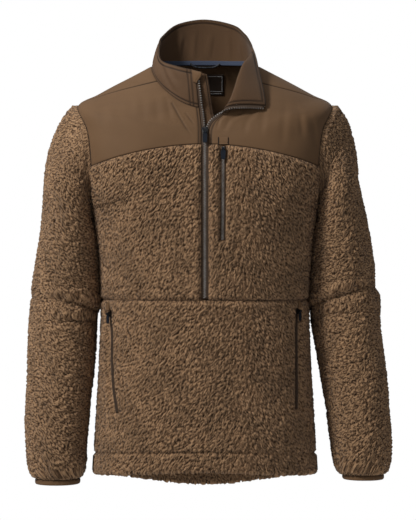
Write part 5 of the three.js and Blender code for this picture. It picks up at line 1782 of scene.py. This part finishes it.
def make_camera():
    data = bpy.data.cameras.new("camera")
    data.sensor_fit = "VERTICAL"
    data.angle = math.radians(CAMERA_ANGLE)
    camera = bpy.data.objects.new("camera", data)
    camera.location = CAMERA_PLACE
    camera.rotation_euler = (math.radians(90), 0, 0)
    bpy.context.scene.collection.objects.link(camera)
    bpy.context.scene.camera = camera


def soft_light(name, place, side, power, colour):
    data = bpy.data.lights.new(name, "AREA")
    data.shape = "SQUARE"
    data.size = side
    data.energy = power
    data.color = colour
    lamp = bpy.data.objects.new(name, data)
    lamp.location = place
    lamp.rotation_euler = (Vector(LIGHTS_AIM) - Vector(place)).to_track_quat("-Z", "Y").to_euler()
    bpy.context.scene.collection.objects.link(lamp)


def make_studio():
    bpy.context.scene.view_settings.view_transform = "Standard"
    for name, light in LIGHTS.items():
        soft_light(name, *light)
    world = bpy.data.worlds.new("studio")
    world.use_nodes = True
    tree = world.node_tree
    background = tree.nodes["Background"]
    background.inputs["Color"].default_value = (1.0, 1.0, 1.0, 1.0)
    seen = tree.nodes.new("ShaderNodeLightPath")
    strength = tree.nodes.new("ShaderNodeMapRange")
    strength.inputs["To Min"].default_value = ROOM_LIGHT
    strength.inputs["To Max"].default_value = BACKDROP_LIGHT
    tree.links.new(seen.outputs["Is Camera Ray"], strength.inputs["Value"])
    tree.links.new(strength.outputs["Result"], background.inputs["Strength"])
    bpy.context.scene.world = world


def make_floor():
    bm = bmesh.new()
    bmesh.ops.create_circle(bm, cap_ends=True, segments=96, radius=FLOOR_RADIUS)
    bmesh.ops.translate(bm, verts=bm.verts, vec=(0, 0, FLOOR_HEIGHT))
    mesh = bpy.data.meshes.new("floor")
    bm.to_mesh(mesh)
    bm.free()
    floor = bpy.data.objects.new("floor", mesh)
    bpy.context.scene.collection.objects.link(floor)
    mesh.materials.append(pale_floor())


# Materials

def new_material(name, roughness, specular, sheen=0.0):
    material = bpy.data.materials.new(name)
    material.use_nodes = True
    tree = material.node_tree
    shader = tree.nodes["Principled BSDF"]
    shader.inputs["Roughness"].default_value = roughness
    shader.inputs["Specular IOR Level"].default_value = specular
    shader.inputs["Sheen Weight"].default_value = sheen
    return material, tree, shader


def node(tree, kind, settings=None, **inputs):
    """A node with its settings, and its inputs given by name as values or as other nodes' outputs."""
    made = tree.nodes.new(kind)
    for name, value in (settings or {}).items():
        setattr(made, name, value)
    for name, value in inputs.items():
        give(tree, made.inputs[name.replace("_", " ")], value)
    return made


def give(tree, socket, value):
    if isinstance(value, bpy.types.NodeSocket):
        tree.links.new(value, socket)
    elif isinstance(value, tuple) and len(value) == 3 and socket.type == "RGBA":
        socket.default_value = (*value, 1.0)
    else:
        socket.default_value = value


def attribute(tree, name, output="Fac"):
    return node(tree, "ShaderNodeAttribute", {"attribute_name": name}).outputs[output]


def maths(tree, operation, first, second=0.0, clamp=False):
    made = node(tree, "ShaderNodeMath", {"operation": operation, "use_clamp": clamp})
    give(tree, made.inputs[0], first)
    give(tree, made.inputs[1], second)
    return made.outputs["Value"]


def weighed(tree, first, first_share, second, second_share, clamp=False):
    """The sum of two values, each with its own share."""
    parts = [maths(tree, "MULTIPLY", *pair) for pair in ((first, first_share), (second, second_share))]
    return maths(tree, "ADD", *parts, clamp)


def spread(tree, value, low, high, to_low=0.0, to_high=1.0):
    made = node(tree, "ShaderNodeMapRange", {"interpolation_type": "SMOOTHSTEP"}, Value=value)
    for name, number in (("From Min", low), ("From Max", high), ("To Min", to_low), ("To Max", to_high)):
        made.inputs[name].default_value = number
    return made.outputs["Result"]


def blend(tree, share, first, second, kind="MIX"):
    made = node(tree, "ShaderNodeMix", {"data_type": "RGBA", "blend_type": kind})
    for socket, value in zip((made.inputs[0], made.inputs[6], made.inputs[7]), (share, first, second)):
        give(tree, socket, value)
    return made.outputs[2]


def dimmed(tree, colour, shade):
    tone = node(tree, "ShaderNodeCombineColor", Red=shade, Green=shade, Blue=shade).outputs["Color"]
    return blend(tree, 1.0, colour, tone, "MULTIPLY")


def toned(tree, level, low, high, colours):
    """A colour from a deep one where a level is low to the face's own where it is high."""
    return blend(tree, spread(tree, level, low, high), colours["deep"], colours["face"])


def turned_lay(tree, lay, angle, scale):
    """The cloth's lay turned by an angle in degrees and drawn out along and across it."""
    made = node(tree, "ShaderNodeMapping", {"vector_type": "TEXTURE"}, Vector=lay)
    made.inputs["Rotation"].default_value = (0.0, 0.0, math.radians(angle))
    made.inputs["Scale"].default_value = (*scale, 1.0)
    return made.outputs["Vector"]


# A wave texture of this scale has one line to a unit.
WAVE_SCALE = 0.314


def noise_node(tree, vector, scale, detail, dimensions):
    settings = {"noise_dimensions": dimensions}
    return node(tree, "ShaderNodeTexNoise", settings, Vector=vector, Scale=scale, Detail=detail)


def warped(tree, lay, scale, reach):
    noise = noise_node(tree, lay, scale, 1.5, "2D")
    made = node(tree, "ShaderNodeVectorMath", {"operation": "MULTIPLY_ADD"})
    give(tree, made.inputs[0], noise.outputs["Color"])
    made.inputs[1].default_value = (reach, reach, 0.0)
    give(tree, made.inputs[2], lay)
    return made.outputs["Vector"]


def noise_of(tree, vector, scale, detail=2.0, dimensions="2D"):
    return noise_node(tree, vector, scale, detail, dimensions).outputs["Fac"]


def waves_on(tree, vector, pitch, distortion, detail):
    """Straight lines at a pitch in metres."""
    settings = {"bands_direction": "X"}
    scale = WAVE_SCALE / pitch
    return node(tree, "ShaderNodeTexWave", settings, Vector=vector, Scale=scale, Distortion=distortion,
                Detail=detail)


def object_place(tree):
    return node(tree, "ShaderNodeTexCoord").outputs["Object"]


def bumped(tree, shader, height, strength, distance):
    made = node(tree, "ShaderNodeBump", Strength=strength, Distance=distance, Height=height)
    give(tree, shader.inputs["Normal"], made.outputs["Normal"])


# Colours are linear.
FLOOR_COLOURS = ((0.84, 0.84, 0.84), (0.88, 0.88, 0.88))


def pale_floor():
    material, tree, shader = new_material("pale_floor", 0.9, 0.2)
    colour = blend(tree, noise_of(tree, object_place(tree), 3.0), *FLOOR_COLOURS)
    give(tree, shader.inputs["Base Color"], colour)
    return material


# The sherpa's colours: painted shade in its pits, its own colour in the body of the locks, painted light on
# their tips.
SHERPA = {"shaded_pit": (0.060, 0.0325, 0.0175), "body": (0.252, 0.142, 0.074), "lit_tip": (0.385, 0.234, 0.128)}
SHELL_COLOURS = {"deep": (0.090, 0.048, 0.022), "face": (0.146, 0.080, 0.0375)}
COLLAR_COLOURS = {"deep": (0.052, 0.0275, 0.0135), "face": (0.120, 0.066, 0.034)}
LINING_COLOURS = {"deep": (0.045, 0.024, 0.0125), "face": (0.142, 0.080, 0.042)}
TAPE_COLOURS = {"deep": (0.034, 0.022, 0.015), "face": (0.125, 0.086, 0.062)}
NAVY = {"deep": (0.003, 0.0045, 0.008), "face": (0.008, 0.0125, 0.021)}
SLATE = {"deep": (0.020, 0.026, 0.043), "face": (0.085, 0.108, 0.170)}
STEEL = {"deep": (0.012, 0.013, 0.015), "face": (0.055, 0.056, 0.058)}
TEETH = {"deep": (0.16, 0.15, 0.14), "face": (0.42, 0.40, 0.38)}
COIL_COLOURS = {"deep": (0.035, 0.023, 0.016), "face": (0.092, 0.061, 0.043)}
THREAD = (0.030, 0.0165, 0.009)
LABEL_COLOURS = {"deep": (0.017, 0.011, 0.008), "face": (0.036, 0.024, 0.017)}
PALE_THREAD = (0.42, 0.42, 0.43)
LOOP_CORD = (0.012, 0.013, 0.016)

# Locks are streaks of noise in metres, and a shade made of them and of the pile's height picks the colour:
# painted shade where it is low, painted light where it is high.
LOCKS = {"size": 0.0023, "along": 2.4, "across": 0.82, "warp": 0.0011, "turn": 56.0, "share": 0.66}
PILE_SHARE = 0.38
PATCHES = {"scale": 20.0, "shade": (0.84, 1.1)}
SHERPA_BUMP = 0.0022
SEAM_SHADE = 0.34


def sherpa_pile():
    """Curly pile: streaky locks with painted shade in the short gaps between them and painted light on their
    tips, swept to one of two sides.
    """
    material, tree, shader = new_material("sherpa_pile", 0.95, 0.1, 0.1)
    lay = attribute(tree, "lay", "Vector")
    curled = warped(tree, warped(tree, lay, 130.0, LOCKS["warp"]), 420.0, LOCKS["warp"] * 0.4)
    sides = []
    for angle in (LOCKS["turn"], 180 - LOCKS["turn"]):
        vector = turned_lay(tree, curled, angle, (LOCKS["along"], LOCKS["across"]))
        sides.append(spread(tree, noise_of(tree, vector, 1 / LOCKS["size"], 1.0), 0.35, 0.55))
    sweep = spread(tree, maths(tree, "ADD", attribute(tree, "sweep"), noise_of(tree, lay, 24.0)), 0.75, 1.25)
    swept = node(tree, "ShaderNodeMix", {"data_type": "FLOAT"})
    for socket, value in zip((swept.inputs[0], swept.inputs[2], swept.inputs[3]), (sweep, *sides)):
        give(tree, socket, value)
    lock = swept.outputs[0]
    shade = weighed(tree, lock, LOCKS["share"], attribute(tree, "pile"), PILE_SHARE, clamp=True)
    # Painted shade in the pits and gaps, the pile's own colour in the body of the locks, painted light on
    # their tips.
    dark = blend(tree, spread(tree, shade, 0.08, 0.55), SHERPA["shaded_pit"], SHERPA["body"])
    colour = blend(tree, spread(tree, shade, 0.5, 1.0), dark, SHERPA["lit_tip"])
    patches = spread(tree, noise_of(tree, lay, PATCHES["scale"], 3.0), 0.3, 0.7, *PATCHES["shade"])
    give(tree, shader.inputs["Base Color"], dimmed(tree, colour, patches))
    bumped(tree, shader, weighed(tree, lock, 1.0, noise_of(tree, lay, 1500.0, 1.0), 0.25), 1.0, SHERPA_BUMP)
    return material


def with_seam_shade(tree, colour):
    """Darkens a cloth by the painted shade stored along its edges, sewing and narrow creases."""
    return dimmed(tree, colour, spread(tree, attribute(tree, "seam"), 0.0, 1.0, 1.0, SEAM_SHADE))


def twill(name, colours, line, angle, roughness, depth, sheen=0.0, lines=0.45):
    """Woven cloth with fine slanting lines."""
    material, tree, shader = new_material(name, roughness, 0.22, sheen)
    lay = attribute(tree, "lay", "Vector")
    slanted = turned_lay(tree, warped(tree, lay, 90.0, 0.0004), angle, (1.0, 1.0))
    waves = waves_on(tree, slanted, line, 0.6, 1.0)
    waves.inputs["Detail Scale"].default_value = 2.0
    weave = weighed(tree, waves.outputs["Fac"], 0.6, noise_of(tree, lay, 900.0), 0.4)
    level = weighed(tree, weave, lines, noise_of(tree, lay, 14.0, 4.0), 0.4, clamp=True)
    colour = toned(tree, level, 0.05, 0.2 + 0.6 * lines, colours)
    # Painted shade along edges, sewing and narrow creases.
    give(tree, shader.inputs["Base Color"], with_seam_shade(tree, colour))
    bumped(tree, shader, weave, 0.35, depth)
    return material


def brushed_knit():
    """The collar's lining: a soft face with short fibres."""
    material, tree, shader = new_material("brushed_lining", 0.95, 0.1, 0.15)
    lay = attribute(tree, "lay", "Vector")
    ribs = waves_on(tree, turned_lay(tree, lay, 62.0, (1.0, 1.0)), 0.0022, 2.5, 2.0)
    level = weighed(tree, noise_of(tree, lay, 650.0, 3.0), 0.8, ribs.outputs["Fac"], 0.25)
    # Painted shade along edges and sewing.
    give(tree, shader.inputs["Base Color"], with_seam_shade(tree, toned(tree, level, 0.3, 0.75, LINING_COLOURS)))
    bumped(tree, shader, level, 0.45, 0.0005)
    return material


def herringbone(name, colours, chevron, line):
    """A woven band whose slant turns about at every chevron's width."""
    material, tree, shader = new_material(name, 0.75, 0.12)
    lay = attribute(tree, "lay", "Vector")
    parts = node(tree, "ShaderNodeSeparateXYZ", Vector=lay)
    folded = maths(tree, "PINGPONG", parts.outputs["X"], chevron)
    slant = maths(tree, "ADD", folded, parts.outputs["Y"])
    ridge = maths(tree, "DIVIDE", maths(tree, "PINGPONG", slant, line), line)
    level = weighed(tree, ridge, 0.65, noise_of(tree, lay, 1400.0, 1.0), 0.5)
    give(tree, shader.inputs["Base Color"], toned(tree, level, 0.2, 0.95, colours))
    bumped(tree, shader, level, 0.5, 0.0004)
    return material


def hard_finish(name, colours, roughness, metal, grain, depth, specular=0.5):
    """Moulded or plated metal and rubber: fine grain under broad smears of wear."""
    material, tree, shader = new_material(name, roughness, specular)
    shader.inputs["Metallic"].default_value = metal
    place = object_place(tree)
    speck = noise_of(tree, place, grain, 3.0, "3D")
    smear = noise_of(tree, place, grain * 0.12, 2.0, "3D")
    level = weighed(tree, speck, 0.4, smear, 0.6)
    give(tree, shader.inputs["Base Color"], toned(tree, level, 0.3, 0.7, colours))
    give(tree, shader.inputs["Roughness"], spread(tree, smear, 0.3, 0.7, roughness - 0.08, roughness + 0.12))
    bumped(tree, shader, speck, 0.25, depth)
    return material


def spun(name, colour, scale=900.0, pale_share=1.6):
    """Sewing thread and cord: fibres of two tones."""
    material, tree, shader = new_material(name, 0.7, 0.3)
    fibre = noise_of(tree, object_place(tree), scale, 2.0, "3D")
    dark, pale = (tuple(share * part for part in colour) for share in (0.5, pale_share))
    give(tree, shader.inputs["Base Color"], blend(tree, spread(tree, fibre, 0.4, 0.62), dark, pale))
    bumped(tree, shader, fibre, 0.4, 0.0002)
    return material


def make_materials():
    return {
        "sherpa": sherpa_pile(),
        "shell": twill("shell_twill", SHELL_COLOURS, 0.0011, 58.0, 0.7, 0.0003, sheen=0.06),
        "collar": twill("collar_twill", COLLAR_COLOURS, 0.0023, 58.0, 0.75, 0.0004, sheen=0.04, lines=0.75),
        "binding": twill("binding_twill", SHELL_COLOURS, 0.0016, 40.0, 0.75, 0.0004, sheen=0.04),
        "lining": brushed_knit(),
        "tape": herringbone("zip_tape_weave", TAPE_COLOURS, 0.0013, 0.0005),
        "neck_tape": herringbone("neck_tape_weave", SLATE, 0.0024, 0.0008),
        "webbing": herringbone("hem_webbing", NAVY, 0.0016, 0.0006),
        "label": twill("label_weave", LABEL_COLOURS, 0.0006, 20.0, 0.75, 0.0001),
        "thread": spun("sewing_thread", THREAD),
        "pale_thread": spun("label_thread", PALE_THREAD),
        "garage_bar_dark": spun("garage_bar_beads", NAVY["deep"]),
        "cord": spun("loop_cord", LOOP_CORD, 260.0, 3.5),
        "teeth": hard_finish("zip_teeth_resin", TEETH, 0.5, 0.1, 900.0, 0.0001, 0.35),
        "dark_coil": hard_finish("pocket_coil", COIL_COLOURS, 0.6, 0.0, 900.0, 0.0001, 0.25),
        "slider": hard_finish("slider_metal", STEEL, 0.34, 0.8, 700.0, 0.0001),
        "trim": hard_finish("pull_rubber", NAVY, 0.7, 0.0, 800.0, 0.0002, 0.2),
    }


finishes = make_materials()
make_camera()
make_studio()
make_floor()
make_body_sherpa(finishes["sherpa"])
for seed, name in enumerate(SLEEVES, 11):
    make_sleeve(name, finishes["sherpa"], seed)
make_yoke(finishes["shell"])
make_collar(finishes["collar"], finishes["lining"])
flap_line = make_wind_flap(finishes["lining"])
make_chin_guard(finishes["shell"])
make_neck_tape(finishes["neck_tape"])
make_hanger_loop(finishes["cord"])
make_label(finishes["label"], finishes["pale_thread"])
make_main_zip(finishes["tape"], finishes["teeth"])
make_pocket_zips(finishes["tape"], finishes["teeth"], finishes["dark_coil"])
make_hard_pieces(finishes)
cuff_lines = [make_cuff(name, finishes["binding"]) for name in SLEEVES]
make_garages(finishes["shell"], finishes["garage_bar_dark"])
make_hem_tabs(finishes["webbing"])
make_sewing(finishes["thread"], cuff_lines, flap_line)
